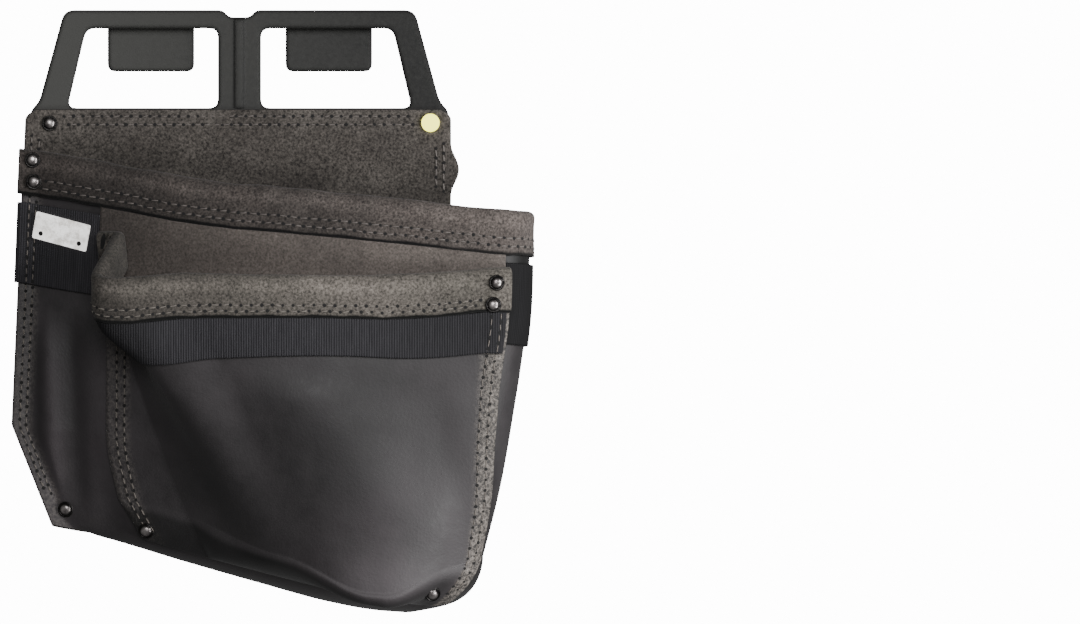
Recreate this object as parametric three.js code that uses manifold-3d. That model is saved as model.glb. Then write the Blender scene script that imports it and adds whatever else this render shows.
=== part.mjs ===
// A hang-on carpenter's nail pouch: a plastic belt hanger, a flat leather back panel, a deep main
// pouch that bulges past the panel on the right, and a smaller pocket sewn on the pouch's front.
// Each mouth has a folded suede collar, and each wall has a band of webbing under its collar.
// Millimetres. +Z is up, the front faces -Y, and +X is the right of the front view.
// The origin is on the hanger's middle, where the belt's top edge bears under the top bar.

import * as THREE from "three";
import { mergeVertices } from "three/addons/utils/BufferGeometryUtils.js";
import Module from "manifold-3d";

// Wall thicknesses and the gap kept between neighbouring layers
const LEATHER = 2.4;
const SUEDE = 2.0;
const WEBBING = 1.6;
const GAP = 0.4;

// Belt hanger
const BELT_SLOT = 6;
const PLATE = 4;
const TOP_BAR_RISE = 9.2;
const TOP_HALF_WIDTH = 84.5;
const SHOULDER_HALF_WIDTH = 90.5;
const WAIST_HALF_WIDTH = 100.5;
const FOOT_HALF_WIDTH = 105;
const FOOT_FLARE_DROP = 41.5;
const FOOT_BOTTOM_DROP = 58;
const LEG_HALF_WIDTH = 10.8;
const WINDOW_TOP_REACH = 77;
const WINDOW_FOOT_REACH = 86.5;
const WINDOW_DROP = 40;
const WINDOW_CORNER = 4.5;
const TONGUE = 3;
const TONGUE_INNER = 23;
const TONGUE_OUTER = 66.5;
const TONGUE_DROP = 21.5;
const TONGUE_CORNER = 4;
const BRIDGE_HEIGHT = 5;
const NOTCH_HALF_WIDTH = 5;
const NOTCH_DROP = 3.6;
const RIB_WIDTH = 4.2;
const RIB_RISE = 0.8;
const PLASTIC_EDGE = 0.6;

// Back panel
const PANEL_TOP_DROP = 41;
const PANEL_TOP_LEFT = 107;
const PANEL_TOP_RIGHT = 106;
const PANEL_TOP_CORNER = 5;
const PANEL_CORNER_LEFT = 114;
const PANEL_CORNER_DROP = 199;
const PANEL_FOOT_LEFT = 94;
const PANEL_FOOT_DROP = 249;
const PANEL_EAR = 4;
const PANEL_EAR_DROP = 71;
const PANEL_EAR_HEIGHT = 26;
const PANEL_FOOT_RIGHT = 101;

// Main pouch
const POUCH_REACH = 146;
const POUCH_DEPTH = 56;
const POUCH_SEAM_REACH = 104.5;
const POUCH_CORNER = 18;
const POUCH_MOUTH_LEFT_DROP = 64;
const POUCH_MOUTH_RIGHT_DROP = 94.5;
const POUCH_MOUTH_SEAM_DROP = 97.5;
const POUCH_LOW_LEFT_DROP = 249;
const POUCH_LOW_RIGHT_DROP = 294;
const POUCH_LOW_SEAM_DROP = 284;
const POUCH_TURN_LEFT = 17;
const POUCH_TURN = 24;
const SEAM_FLAT = 8;

// Collars and webbing bands
const COLLAR_HEIGHT = 22.5;
const COLLAR_INSIDE = 17;
const COLLAR_PAST_EDGE = 2.2;
const BAND_WIDTH = 40;
const MAIN_BAND_GAP = 4.5;
const BAND_WRAP_RUN = 12;
// The band stops at the suede piece behind the front pocket, and goes on past it at the right
const BACKING_START = 0.12;
const BACKING_END = 0.728;
const BACKING_SEAM = 0.0013;
const FRONT_BAND_SHOWING = 20;

// Front pocket
const POCKET_LEFT = 65;
const POCKET_DEPTH = 70;
const POCKET_SEAM = 12;
const POCKET_MOUTH_SEAM_DROP = 105;
const POCKET_MOUTH_CREST_DROP = 126;
const POCKET_MOUTH_DROP = 127.5;
const POCKET_MOUTH_RIGHT_DROP = 123.5;
const POCKET_CREST_TURN_DROP = 259;
const POCKET_FACE_TURN_DROP = 273;

// Metal pieces
const RIVET_RADIUS = 4;
const RIVET_HEIGHT = 1.9;
const LABEL_WIDTH = 30;
const LABEL_HEIGHT = 13.6;
const LABEL_THICKNESS = 0.8;
const LABEL_HOLE = 0.9;
const LABEL_TILT = 14;
const MARKER_RADIUS = 4.6;
const MARKER_THICKNESS = 1;

const PLATE_FRONT = -(BELT_SLOT / 2 + PLATE);
const PANEL_FRONT = PLATE_FRONT - GAP - LEATHER;

// Main pouch sections, from the mouth (fall 0) to where the bottom turns under (fall 1), then the
// bottom seam (fall 2). Belly and seam are shares of their reaches, depth of the pouch's depth.
const POUCH_ROWS = [
  { fall: 0, belly: 1, depth: 0.92, seam: 1 },
  { fall: 0.3, belly: 0.99, depth: 0.97, seam: 0.995 },
  { fall: 0.55, belly: 0.948, depth: 1, seam: 0.98 },
  { fall: 0.8, belly: 0.897, depth: 0.97, seam: 0.965 },
  { fall: 1, belly: 0.84, depth: 0.86, seam: 0.95 },
  { fall: 2, belly: 0.64, depth: 0, seam: 0.955 },
];

// Slope of the main pouch's mouth and of its lowest line along the front, as shares of their drops
// from the left end to the right end
const POUCH_LINES = [
  { front: 0, mouth: 0, low: 0 },
  { front: 0.15, mouth: 0.19, low: 0.145 },
  { front: 0.385, mouth: 0.52, low: 0.42 },
  { front: 0.6, mouth: 0.68, low: 0.66 },
  { front: 0.8, mouth: 0.83, low: 0.87 },
  { front: 0.92, mouth: 0.93, low: 0.955 },
  { front: 1, mouth: 1, low: 0.98 },
];

// Front pocket sections, from the mouth (fall 0) to where the bottom turns under (fall 1).
// Edge, foot and crest are shares of the left reach, and the two depths of the pocket's depth. The
// crest is the fold between the side wall and the face. Wrap is how far the right edge reaches round
// the main pouch's corner.
const POCKET_ROWS = [
  { fall: 0, edge: 1, foot: 0.82, crest: 1.08, crestDepth: 0.85, faceDepth: 0.97, wrap: 0.22 },
  { fall: 0.18, edge: 1, foot: 0.82, crest: 1.02, crestDepth: 0.83, faceDepth: 0.985, wrap: 0.23 },
  { fall: 0.3, edge: 1, foot: 0.82, crest: 0.75, crestDepth: 0.78, faceDepth: 1, wrap: 0.25 },
  { fall: 0.45, edge: 1, foot: 0.81, crest: 0.54, crestDepth: 0.75, faceDepth: 1, wrap: 0.3 },
  { fall: 0.6, edge: 1, foot: 0.72, crest: 0.35, crestDepth: 0.72, faceDepth: 0.985, wrap: 0.36 },
  { fall: 0.8, edge: 0.995, foot: 0.56, crest: 0.11, crestDepth: 0.69, faceDepth: 0.98, wrap: 0.5 },
  { fall: 1, edge: 0.91, foot: 0.38, crest: -0.11, crestDepth: 0.66, faceDepth: 0.94, wrap: 0.6 },
];

// Stations across the pocket: its place along the section, and how far between crest and right foot
const POCKET_STATIONS = [
  { name: "foot", along: 0.035 },
  { name: "wall", along: 0.11 },
  { name: "crest", along: 0.18 },
  { name: "faceLeft", along: 0.36, across: 0.25 },
  { name: "faceMiddle", along: 0.6, across: 0.54 },
  { name: "faceRight", along: 0.82, across: 0.8 },
  { name: "rightFoot", along: 0.95 },
];

// Shares of the main pouch's section: the front, the rounded corner, then the side back to the panel
const FRONT_SHARE = 0.7;
const CORNER_SHARE = 0.14;
const RIM_END = 0.962;
const COLLAR_START = 0.045;
const UNDER_ANGLE = THREE.MathUtils.degToRad(112);
const POCKET_UNDER = 0.42;
const POCKET_DRIFT = 0.04;
const POCKET_END_WRAP = 0.24;

const COLOURS = {
  plastic: 0x3d3d3b,
  backSuede: 0x4c4843,
  collarSuede: 0x5c5751,
  paleSuede: 0x6d6862,
  leather: 0x353133,
  webbing: 0x1d1d1f,
  steel: 0x55555a,
  silver: 0xd8d6d3,
  marker: 0xf1f1b6,
};

function point(x, depth, z) {
  return new THREE.Vector3(x, PANEL_FRONT - depth, z);
}

function smoothstep(low, high, value) {
  return THREE.MathUtils.smoothstep(value, low, high);
}

const lerp = THREE.MathUtils.lerp;

// A smooth curve through values at unevenly spaced stations
function smoothThrough(stations, values, at) {
  const last = stations.length - 1;
  let i = 0;
  while (i < last - 1 && at > stations[i + 1]) i += 1;
  const slope = (k) => (values[k + 1] - values[k]) / (stations[k + 1] - stations[k]);
  const tangent = (k) => {
    if (k === 0) return slope(0);
    if (k === last) return slope(last - 1);
    const before = stations[k] - stations[k - 1];
    const after = stations[k + 1] - stations[k];
    return (slope(k) * before + slope(k - 1) * after) / (before + after);
  };
  const span = stations[i + 1] - stations[i];
  const t = (at - stations[i]) / span;
  const chord = lerp(values[i], values[i + 1], t * t * (3 - 2 * t));
  const leaving = tangent(i) * span * t * (1 - t) * (1 - t);
  const arriving = tangent(i + 1) * span * t * t * (1 - t);
  return chord + leaving - arriving;
}

function rowValue(rows, column, fall) {
  return smoothThrough(
    rows.map((row) => row.fall),
    rows.map((row) => row[column]),
    fall,
  );
}

// Outward normal of a skin given as a function of two parameters, the second running down
function skinNormal(skin, u, v) {
  const step = 1e-3;
  const across = skin(u + step, v).sub(skin(u - step, v));
  const down = skin(u, v + step).sub(skin(u, v - step));
  return down.cross(across).normalize();
}

function offsetSkin(skin, distance) {
  return (u, v) => skin(u, v).addScaledVector(skinNormal(skin, u, v), distance);
}

// Finds the parameters of the skin's point at a given x and z
function parametersAt(skin, x, z, startU, startV) {
  let u = startU;
  let v = startV;
  const step = 1e-3;
  for (let round = 0; round < 14; round += 1) {
    const here = skin(u, v);
    const across = skin(u + step, v).sub(here).divideScalar(step);
    const down = skin(u, v + step).sub(here).divideScalar(step);
    const determinant = across.x * down.z - across.z * down.x;
    const missX = x - here.x;
    const missZ = z - here.z;
    u += THREE.MathUtils.clamp((missX * down.z - missZ * down.x) / determinant, -0.2, 0.2);
    v += THREE.MathUtils.clamp((missZ * across.x - missX * across.z) / determinant, -0.3, 0.3);
  }
  return { u, v };
}

// A closed sheet of one thickness whose outer face is the skin
function sheet(skin, us, vs, thickness) {
  const positions = [];
  const index = [];
  const inner = offsetSkin(skin, -thickness);
  for (const face of [skin, inner]) {
    for (const v of vs) {
      for (const u of us) positions.push(...face(u, v).toArray());
    }
  }
  const columns = us.length;
  const layer = columns * vs.length;
  const at = (i, j) => j * columns + i;
  const rim = (from, to) => {
    index.push(to, from, from + layer, to, from + layer, to + layer);
  };
  for (let j = 0; j < vs.length - 1; j += 1) {
    for (let i = 0; i < columns - 1; i += 1) {
      const [a, b, c, d] = [at(i, j), at(i + 1, j), at(i + 1, j + 1), at(i, j + 1)];
      index.push(a, d, c, a, c, b);
      index.push(a + layer, c + layer, d + layer, a + layer, b + layer, c + layer);
    }
    rim(at(0, j), at(0, j + 1));
    rim(at(columns - 1, j + 1), at(columns - 1, j));
  }
  for (let i = 0; i < columns - 1; i += 1) {
    rim(at(i, vs.length - 1), at(i + 1, vs.length - 1));
    rim(at(i + 1, 0), at(i, 0));
  }
  const geometry = new THREE.BufferGeometry();
  geometry.setAttribute("position", new THREE.Float32BufferAttribute(positions, 3));
  geometry.setIndex(index);
  geometry.computeVertexNormals();
  return geometry;
}

// Evenly spaced values from low to high, both included
function steps(low, high, count) {
  return Array.from({ length: count + 1 }, (_, i) => lerp(low, high, i / count));
}

// Left outline shared by the back panel and the main pouch's left seam
function leftEdge(z) {
  const upper = (-PANEL_TOP_DROP - z) / (PANEL_CORNER_DROP - PANEL_TOP_DROP);
  if (upper <= 1) return -lerp(PANEL_TOP_LEFT, PANEL_CORNER_LEFT, upper);
  const lower = (-PANEL_CORNER_DROP - z) / (PANEL_FOOT_DROP - PANEL_CORNER_DROP);
  return -lerp(PANEL_CORNER_LEFT, PANEL_FOOT_LEFT, lower);
}

// Heights of the main pouch along its section
function pouchPlace(u) {
  const front = THREE.MathUtils.clamp(u / FRONT_SHARE, 0, 1);
  const side = THREE.MathUtils.clamp((u - FRONT_SHARE) / (1 - FRONT_SHARE), 0, 1);
  const line = (column) =>
    smoothThrough(
      POUCH_LINES.map((row) => row.front),
      POUCH_LINES.map((row) => row[column]),
      front,
    );
  const low = lerp(-POUCH_LOW_LEFT_DROP, -POUCH_LOW_RIGHT_DROP, line("low"));
  const lift = (POUCH_LOW_RIGHT_DROP - POUCH_LOW_SEAM_DROP) * side;
  const turn = lerp(POUCH_TURN_LEFT, POUCH_TURN, smoothstep(0, 0.3, front));
  const mouth = lerp(-POUCH_MOUTH_LEFT_DROP, -POUCH_MOUTH_RIGHT_DROP, line("mouth"));
  const mouthLift = (POUCH_MOUTH_RIGHT_DROP - POUCH_MOUTH_SEAM_DROP) * side;
  return { front, mouth: mouth + mouthLift, low: low + lift, turn: low + lift + turn };
}

// Outer skin of the main pouch. Along runs 0 to 1 from the left seam round the right side, and fall
// runs 0 to 1 down the wall and 1 to 2 under the bottom.
function pouchSkin(along, fall) {
  const { front, mouth, low, turn } = pouchPlace(along);
  const under = Math.max(0, fall - 1);
  const angle = under * UNDER_ANGLE;
  const tucked = (Math.cos(angle) - Math.cos(UNDER_ANGLE)) / (1 - Math.cos(UNDER_ANGLE));
  const rowFall = under > 0 ? 2 - tucked : fall;
  const seamShare = smoothstep(0, 0.15, front);
  const sunk = lerp(under, Math.sin(angle), seamShare);
  const z = under > 0 ? turn - (turn - low) * sunk : lerp(mouth, turn, fall);

  const turned = Math.min(rowFall, 1);
  const left = leftEdge(lerp(pouchPlace(0).mouth, pouchPlace(0).turn, turned));
  const leftUnder = leftEdge(lerp(pouchPlace(0).turn, pouchPlace(0).low, under));
  const edge = under > 0 ? leftUnder : left;
  const ease = (column) =>
    under > 0
      ? lerp(POUCH_ROWS.at(-2)[column], POUCH_ROWS.at(-1)[column], 1 - tucked)
      : rowValue(POUCH_ROWS.slice(0, -1), column, fall);
  const belly = POUCH_REACH * ease("belly");
  const seam = POUCH_SEAM_REACH * ease("seam");
  const depth = POUCH_DEPTH * ease("depth");
  const cornerDepth = (POUCH_CORNER + 2) * ease("depth");

  const fold = (SUEDE + GAP) * (1 - smoothstep(COLLAR_HEIGHT, 2 * COLLAR_HEIGHT, mouth - z));
  const outer = GAP + LEATHER + fold;
  const flange = lerp(outer, GAP, under * smoothstep(0, 0.2, front));
  const cornerStart = belly - POUCH_CORNER;
  if (along <= FRONT_SHARE) {
    const s = along / FRONT_SHARE;
    const flat = SEAM_FLAT / (cornerStart - edge);
    const rise = Math.max(0, (s - flat) / (1 - flat));
    return point(lerp(edge, cornerStart, s), flange + depth * (1 - (1 - rise) ** 1.8), z);
  }
  if (along <= FRONT_SHARE + CORNER_SHARE) {
    const turnAngle = ((along - FRONT_SHARE) / CORNER_SHARE) * (Math.PI / 2);
    const x = cornerStart + POUCH_CORNER * Math.sin(turnAngle);
    return point(x, flange + depth - cornerDepth * (1 - Math.cos(turnAngle)), z);
  }
  const back = (along - FRONT_SHARE - CORNER_SHARE) / (1 - FRONT_SHARE - CORNER_SHARE);
  const startDepth = flange + depth - cornerDepth;
  const waist = 0.3 * depth;
  const x = (1 - back * back) * belly + back * back * seam;
  const y = (1 - back) ** 2 * startDepth + 2 * back * (1 - back) * waist + back * back * GAP;
  return point(x, y, z);
}

function pouchAt(x, z) {
  return parametersAt(pouchSkin, x, z, 0.4, 0.5);
}

// How far the pocket's outer skin lies off the main pouch where it is sewn to it: it rides on the
// inside of its own collar at the top, then on the webbing band, and on the leather below that
function pocketLift(along, fall) {
  const { mouth, turn } = pouchPlace(along);
  const drop = fall * (mouth - turn);
  const bandEnd = COLLAR_HEIGHT + MAIN_BAND_GAP + BAND_WIDTH;
  const seamTop = along < FRONT_SHARE / 2 ? POCKET_MOUTH_SEAM_DROP : POCKET_MOUTH_RIGHT_DROP;
  const collarEnd = seamTop + mouth + COLLAR_HEIGHT;
  const overBand = 1 - smoothstep(bandEnd, bandEnd + 20, drop);
  const overCollar = 1 - smoothstep(collarEnd, collarEnd + COLLAR_HEIGHT, drop);
  const sag = GAP * Math.max(0, fall - 1);
  return GAP + LEATHER + sag + (WEBBING + GAP) * overBand + (SUEDE + GAP) * overCollar;
}

// The pocket's outer skin where it is sewn down, in the main pouch's parameters
function sewnSkin(along, fall) {
  const normal = skinNormal(pouchSkin, along, fall);
  return pouchSkin(along, fall).addScaledVector(normal, pocketLift(along, fall));
}

function sewnPoint(place) {
  return sewnSkin(place.u, place.v);
}

function between(start, end, share) {
  return { u: lerp(start.u, end.u, share), v: lerp(start.v, end.v, share) };
}

const memory = new Map();

// The pocket's section at one fall: its seams' places on the main pouch, and a point at each station
function pocketSection(fall) {
  const key = fall.toFixed(6);
  if (memory.has(key)) return memory.get(key);
  const wallFall = Math.min(fall, 1);
  const row = (column) => rowValue(POCKET_ROWS, column, wallFall);
  const edgeX = -POCKET_LEFT * row("edge");
  const footX = -POCKET_LEFT * row("foot");
  const crestX = -POCKET_LEFT * row("crest");
  const under = Math.max(0, fall - 1);
  const faceZ = lerp(-POCKET_MOUTH_DROP, -POCKET_FACE_TURN_DROP, wallFall);
  const crestZ = lerp(-POCKET_MOUTH_CREST_DROP, -POCKET_CREST_TURN_DROP, wallFall);

  const sewn = (x, mouthDrop) => {
    const turnPlace = pouchAt(x, -POCKET_FACE_TURN_DROP + POUCH_TURN);
    const turnZ = pouchPlace(turnPlace.u).turn;
    const place = pouchAt(x, lerp(-mouthDrop, turnZ, wallFall));
    return { u: place.u + under * POCKET_DRIFT, v: place.v + under * POCKET_UNDER };
  };
  const sewnAlong = (along) => {
    const { mouth, turn } = pouchPlace(along);
    const z = lerp(-POCKET_MOUTH_RIGHT_DROP, turn, wallFall);
    return { u: along, v: (mouth - z) / (mouth - turn) + under * POCKET_UNDER };
  };
  const wrapped = FRONT_SHARE + CORNER_SHARE * row("wrap");
  const rightEdge = lerp(wrapped, FRONT_SHARE + CORNER_SHARE * POCKET_END_WRAP, under);
  const seamShare = (POCKET_SEAM * FRONT_SHARE) / (POUCH_REACH - POUCH_CORNER + PANEL_TOP_LEFT);
  const seams = {
    left: [sewn(edgeX, POCKET_MOUTH_SEAM_DROP), sewn(footX, POCKET_MOUTH_SEAM_DROP)],
    right: [sewnAlong(rightEdge - seamShare), sewnAlong(rightEdge)],
  };
  const foot = sewnPoint(seams.left[1]);
  const rightFoot = sewnPoint(seams.right[0]);

  const crest = point(crestX, POCKET_DEPTH * row("crestDepth"), crestZ);
  const wall = foot.clone().lerp(crest, 0.52);
  const faceDepth = POCKET_DEPTH * row("faceDepth");
  const faces = POCKET_STATIONS.filter((station) => station.across).map((station) => {
    const share = station.across;
    const middle = 1 - ((share - 0.54) / 0.46) ** 2;
    const sides = lerp(crest.y, rightFoot.y, share);
    const y = lerp(sides, PANEL_FRONT - faceDepth, middle * 0.9);
    const z = lerp(lerp(crestZ, faceZ, smoothstep(0, 0.5, share)), rightFoot.z, smoothstep(0.75, 1, share));
    return new THREE.Vector3(lerp(crestX, rightFoot.x, share), y, z);
  });
  const points = [foot, wall, crest, ...faces, rightFoot];
  if (fall > 1) {
    const angle = ((fall - 1) * Math.PI) / 2;
    const start = pocketSection(1).points;
    for (let k = 1; k < points.length - 1; k += 1) {
      const near = pouchAt(start[k].x, pouchPlace(FRONT_SHARE / 2).turn);
      const end = sewnSkin(pouchAt(start[k].x, pouchPlace(near.u).turn).u, 1 + POCKET_UNDER);
      points[k] = new THREE.Vector3(
        lerp(start[k].x, end.x, 1 - Math.cos(angle)),
        lerp(end.y, start[k].y, Math.cos(angle)),
        lerp(start[k].z, end.z, Math.sin(angle)),
      );
    }
  }
  const section = { seams, points };
  memory.set(key, section);
  return section;
}

// Outer skin of the front pocket, with the same parameters as the main pouch
function pocketSkin(along, fall) {
  const { seams, points } = pocketSection(fall);
  const stations = POCKET_STATIONS.map((station) => station.along);
  const [footAt, rightFootAt] = [stations[0], stations.at(-1)];
  if (along <= footAt) return sewnPoint(between(seams.left[0], seams.left[1], along / footAt));
  if (along >= rightFootAt) {
    const share = (along - rightFootAt) / (1 - rightFootAt);
    return sewnPoint(between(seams.right[0], seams.right[1], share));
  }
  const coordinate = (axis) => smoothThrough(stations, points.map((p) => p[axis]), along);
  return new THREE.Vector3(coordinate("x"), coordinate("y"), coordinate("z"));
}

// Share of a wall's height that a drop in millimetres below the mouth covers
function fallOf(skin, along, drop) {
  const height = skin(along, 0).z - skin(along, 1).z;
  return drop / height;
}

// A collar folded over a wall's mouth. Round runs 0 at the outside hem, 0.4 to 0.6 over the fold
// and 1 at the inside hem.
function collarSkin(skin, wall) {
  const outside = GAP + SUEDE;
  const inside = -(wall + GAP + SUEDE);
  const centre = (outside + inside) / 2;
  const radius = (outside - inside) / 2;
  const outsideDrop = COLLAR_HEIGHT - radius;
  return (along, round) => {
    if (round < 0.4) {
      const fall = fallOf(skin, along, lerp(outsideDrop, 0, round / 0.4));
      return skin(along, fall).addScaledVector(skinNormal(skin, along, fall), outside);
    }
    if (round > 0.6) {
      const fall = fallOf(skin, along, lerp(0, COLLAR_INSIDE, (round - 0.6) / 0.4));
      return skin(along, fall).addScaledVector(skinNormal(skin, along, fall), inside);
    }
    const turn = ((round - 0.4) / 0.2) * Math.PI;
    const normal = skinNormal(skin, along, 0);
    const up = skin(along, 0).sub(skin(along, 0.01)).normalize();
    return skin(along, 0)
      .addScaledVector(normal, centre + radius * Math.cos(turn))
      .addScaledVector(up, radius * Math.sin(turn));
  };
}

// The collar's skin runs upwards outside, so its second parameter is turned round for the sheet
function collarSheet(skin, wall, us) {
  const folded = collarSkin(skin, wall);
  const flipped = (along, down) => folded(along, -down);
  const rounds = [0, 0.2, 0.4, 0.45, 0.5, 0.55, 0.6, 1];
  return sheet(flipped, us, rounds.map((round) => -round).reverse(), SUEDE);
}

function mesh(name, geometry, colour, roughness, metalness = 0) {
  const material = new THREE.MeshStandardMaterial({ color: colour, roughness, metalness });
  const made = new THREE.Mesh(geometry, material);
  made.name = name;
  return made;
}

// Solid joining of closed geometries
const wasm = await Module();
wasm.setup();

function toSolid(geometry) {
  const bare = geometry.clone();
  bare.deleteAttribute("normal");
  bare.deleteAttribute("uv");
  const merged = mergeVertices(bare, 1e-4);
  return new wasm.Manifold(
    new wasm.Mesh({
      numProp: 3,
      vertProperties: merged.attributes.position.array,
      triVerts: new Uint32Array(merged.index.array),
    }),
  );
}

function fromSolid(solid) {
  const data = solid.getMesh();
  const geometry = new THREE.BufferGeometry();
  geometry.setAttribute("position", new THREE.BufferAttribute(data.vertProperties, 3));
  geometry.setIndex(new THREE.BufferAttribute(data.triVerts, 1));
  geometry.computeVertexNormals();
  return geometry;
}

function join(geometries) {
  return fromSolid(geometries.map(toSolid).reduce((all, next) => all.add(next)));
}

// A front-view outline pushed back from its front face. The edges are rounded by the given amount.
function slab(shape, front, thickness, edge = 0) {
  const geometry = new THREE.ExtrudeGeometry(shape, {
    depth: thickness - 2 * edge,
    bevelEnabled: edge > 0,
    bevelThickness: edge,
    bevelSize: edge,
    bevelOffset: -edge,
    bevelSegments: 1,
    curveSegments: 4,
  });
  geometry.rotateX(Math.PI / 2);
  geometry.translate(0, front + thickness - edge, 0);
  return geometry;
}

// Outline with every corner rounded, from a list of corners with their radii
function roundedOutline(corners, Outline = THREE.Shape) {
  const outline = new Outline();
  corners.forEach(([x, z, radius], i) => {
    const [px, pz] = corners[(i + corners.length - 1) % corners.length];
    const [nx, nz] = corners[(i + 1) % corners.length];
    const corner = new THREE.Vector2(x, z);
    const towards = (tx, tz) => {
      const way = new THREE.Vector2(tx, tz).sub(corner);
      return corner.clone().addScaledVector(way.normalize(), radius);
    };
    const start = towards(px, pz);
    const end = towards(nx, nz);
    if (i === 0) outline.moveTo(start.x, start.y);
    else outline.lineTo(start.x, start.y);
    if (radius > 0) outline.quadraticCurveTo(x, z, end.x, end.y);
  });
  outline.closePath();
  return outline;
}

function mirrored(corners) {
  return corners.map(([x, z, radius]) => [-x, z, radius]).reverse();
}

function hangerGeometry() {
  const flareStart = FOOT_FLARE_DROP - 5;
  const rightSide = [
    [FOOT_HALF_WIDTH - 6, -FOOT_BOTTOM_DROP, 5],
    [FOOT_HALF_WIDTH, -FOOT_FLARE_DROP - 6, 3],
    [FOOT_HALF_WIDTH, -FOOT_FLARE_DROP, 2.4],
    [WAIST_HALF_WIDTH, -flareStart, 3],
    [SHOULDER_HALF_WIDTH, 0, 3],
    [TOP_HALF_WIDTH + 3.5, TOP_BAR_RISE, 5],
    [NOTCH_HALF_WIDTH + NOTCH_DROP, TOP_BAR_RISE, 2],
    [NOTCH_HALF_WIDTH, TOP_BAR_RISE - NOTCH_DROP, 2],
  ];
  const outline = roundedOutline([...rightSide, ...mirrored(rightSide)]);
  const window = [
    [LEG_HALF_WIDTH, -WINDOW_DROP, WINDOW_CORNER],
    [WINDOW_FOOT_REACH, -WINDOW_DROP, WINDOW_CORNER],
    [WINDOW_TOP_REACH, 0, WINDOW_CORNER],
    [LEG_HALF_WIDTH, 0, WINDOW_CORNER],
  ];
  outline.holes.push(roundedOutline(window, THREE.Path), roundedOutline(mirrored(window), THREE.Path));
  const pieces = [slab(outline, PLATE_FRONT, PLATE, PLASTIC_EDGE)];
  for (const side of [-1, 1]) {
    const tongue = [
      [TONGUE_INNER, -TONGUE_DROP, TONGUE_CORNER],
      [TONGUE_OUTER, -TONGUE_DROP, TONGUE_CORNER],
      [TONGUE_OUTER, BRIDGE_HEIGHT, 1],
      [TONGUE_INNER, BRIDGE_HEIGHT, 1],
    ];
    const outlineOfTongue = roundedOutline(side > 0 ? tongue : mirrored(tongue));
    pieces.push(slab(outlineOfTongue, BELT_SLOT / 2, TONGUE, PLASTIC_EDGE));
    const width = TONGUE_OUTER - TONGUE_INNER - 2;
    const middle = (side * (TONGUE_OUTER + TONGUE_INNER)) / 2;
    const depth = PLATE / 2 + BELT_SLOT + TONGUE / 2;
    const bridge = new THREE.BoxGeometry(width, depth, BRIDGE_HEIGHT - PLASTIC_EDGE);
    const bridgeMiddle = (BELT_SLOT + TONGUE / 2 + BELT_SLOT / 2 + PLATE_FRONT + PLATE / 2 - BELT_SLOT / 2) / 2;
    bridge.translate(middle, bridgeMiddle, (BRIDGE_HEIGHT - PLASTIC_EDGE) / 2);
    pieces.push(bridge);
  }
  const ribHeight = WINDOW_DROP + TOP_BAR_RISE - NOTCH_DROP - 2 * PLASTIC_EDGE;
  const rib = new THREE.BoxGeometry(RIB_WIDTH, RIB_RISE + 1, ribHeight);
  rib.translate(0, PLATE_FRONT + 0.5 - RIB_RISE / 2, -WINDOW_DROP + ribHeight / 2);
  pieces.push(rib);
  return join(pieces);
}

// The back panel follows the left seam, the bottom seam and a right edge with a small ear
function backPanelGeometry() {
  const outline = new THREE.Shape();
  const top = -PANEL_TOP_DROP;
  const right = PANEL_TOP_RIGHT;
  const bottomRight = pouchSkin(1, 2);
  outline.moveTo(-PANEL_TOP_LEFT + PANEL_TOP_CORNER, top);
  outline.lineTo(right - PANEL_TOP_CORNER, top);
  outline.quadraticCurveTo(right, top, right, top - PANEL_TOP_CORNER);
  const earTop = -PANEL_EAR_DROP + PANEL_EAR_HEIGHT / 2;
  outline.lineTo(right, earTop);
  for (const share of steps(0, 1, 8).slice(1)) {
    const bulge = PANEL_EAR * Math.sin(share * Math.PI) ** 2;
    outline.lineTo(right + bulge, earTop - share * PANEL_EAR_HEIGHT);
  }
  const footZ = bottomRight.z + PANEL_TOP_CORNER * 2;
  outline.lineTo(PANEL_FOOT_RIGHT + 1, footZ);
  for (const along of steps(1, 0, 24)) {
    const seam = pouchSkin(along, 2);
    const inset = lerp(0, 1, smoothstep(0, 0.1, along));
    outline.lineTo(seam.x, seam.z - 0.8 * inset);
  }
  for (const share of steps(0, 1, 6).slice(1)) {
    const z = lerp(-PANEL_FOOT_DROP, -PANEL_CORNER_DROP, share);
    outline.lineTo(leftEdge(z), z);
  }
  outline.lineTo(leftEdge(top - PANEL_TOP_CORNER), top - PANEL_TOP_CORNER);
  outline.quadraticCurveTo(-PANEL_TOP_LEFT, top, -PANEL_TOP_LEFT + PANEL_TOP_CORNER, top);
  return slab(outline, PANEL_FRONT, LEATHER);
}

const POUCH_COLUMNS = [
  0,
  0.022,
  ...steps(0.045, FRONT_SHARE, 15),
  ...steps(FRONT_SHARE, FRONT_SHARE + CORNER_SHARE, 7).slice(1),
  ...steps(FRONT_SHARE + CORNER_SHARE, 1, 6).slice(1),
];

const POCKET_COLUMNS = [
  ...steps(0, 0.035, 2),
  ...steps(0.035, 0.18, 9).slice(1),
  ...steps(0.18, 0.3, 4).slice(1),
  ...steps(0.3, 0.95, 14).slice(1),
  ...steps(0.95, 1, 4).slice(1),
];

function mainPouchGeometry() {
  const falls = [...steps(0, 1, 12), ...steps(1, 2, 8).slice(1)];
  return sheet(pouchSkin, POUCH_COLUMNS, falls, LEATHER);
}

function mainCollarGeometry() {
  const past = (-COLLAR_PAST_EDGE / (POUCH_REACH - POUCH_CORNER + PANEL_TOP_LEFT)) * FRONT_SHARE;
  const columns = POUCH_COLUMNS.filter((along) => along > 0 && along < RIM_END);
  return collarSheet(pouchSkin, LEATHER, [past, 0, ...columns, RIM_END]);
}

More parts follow.
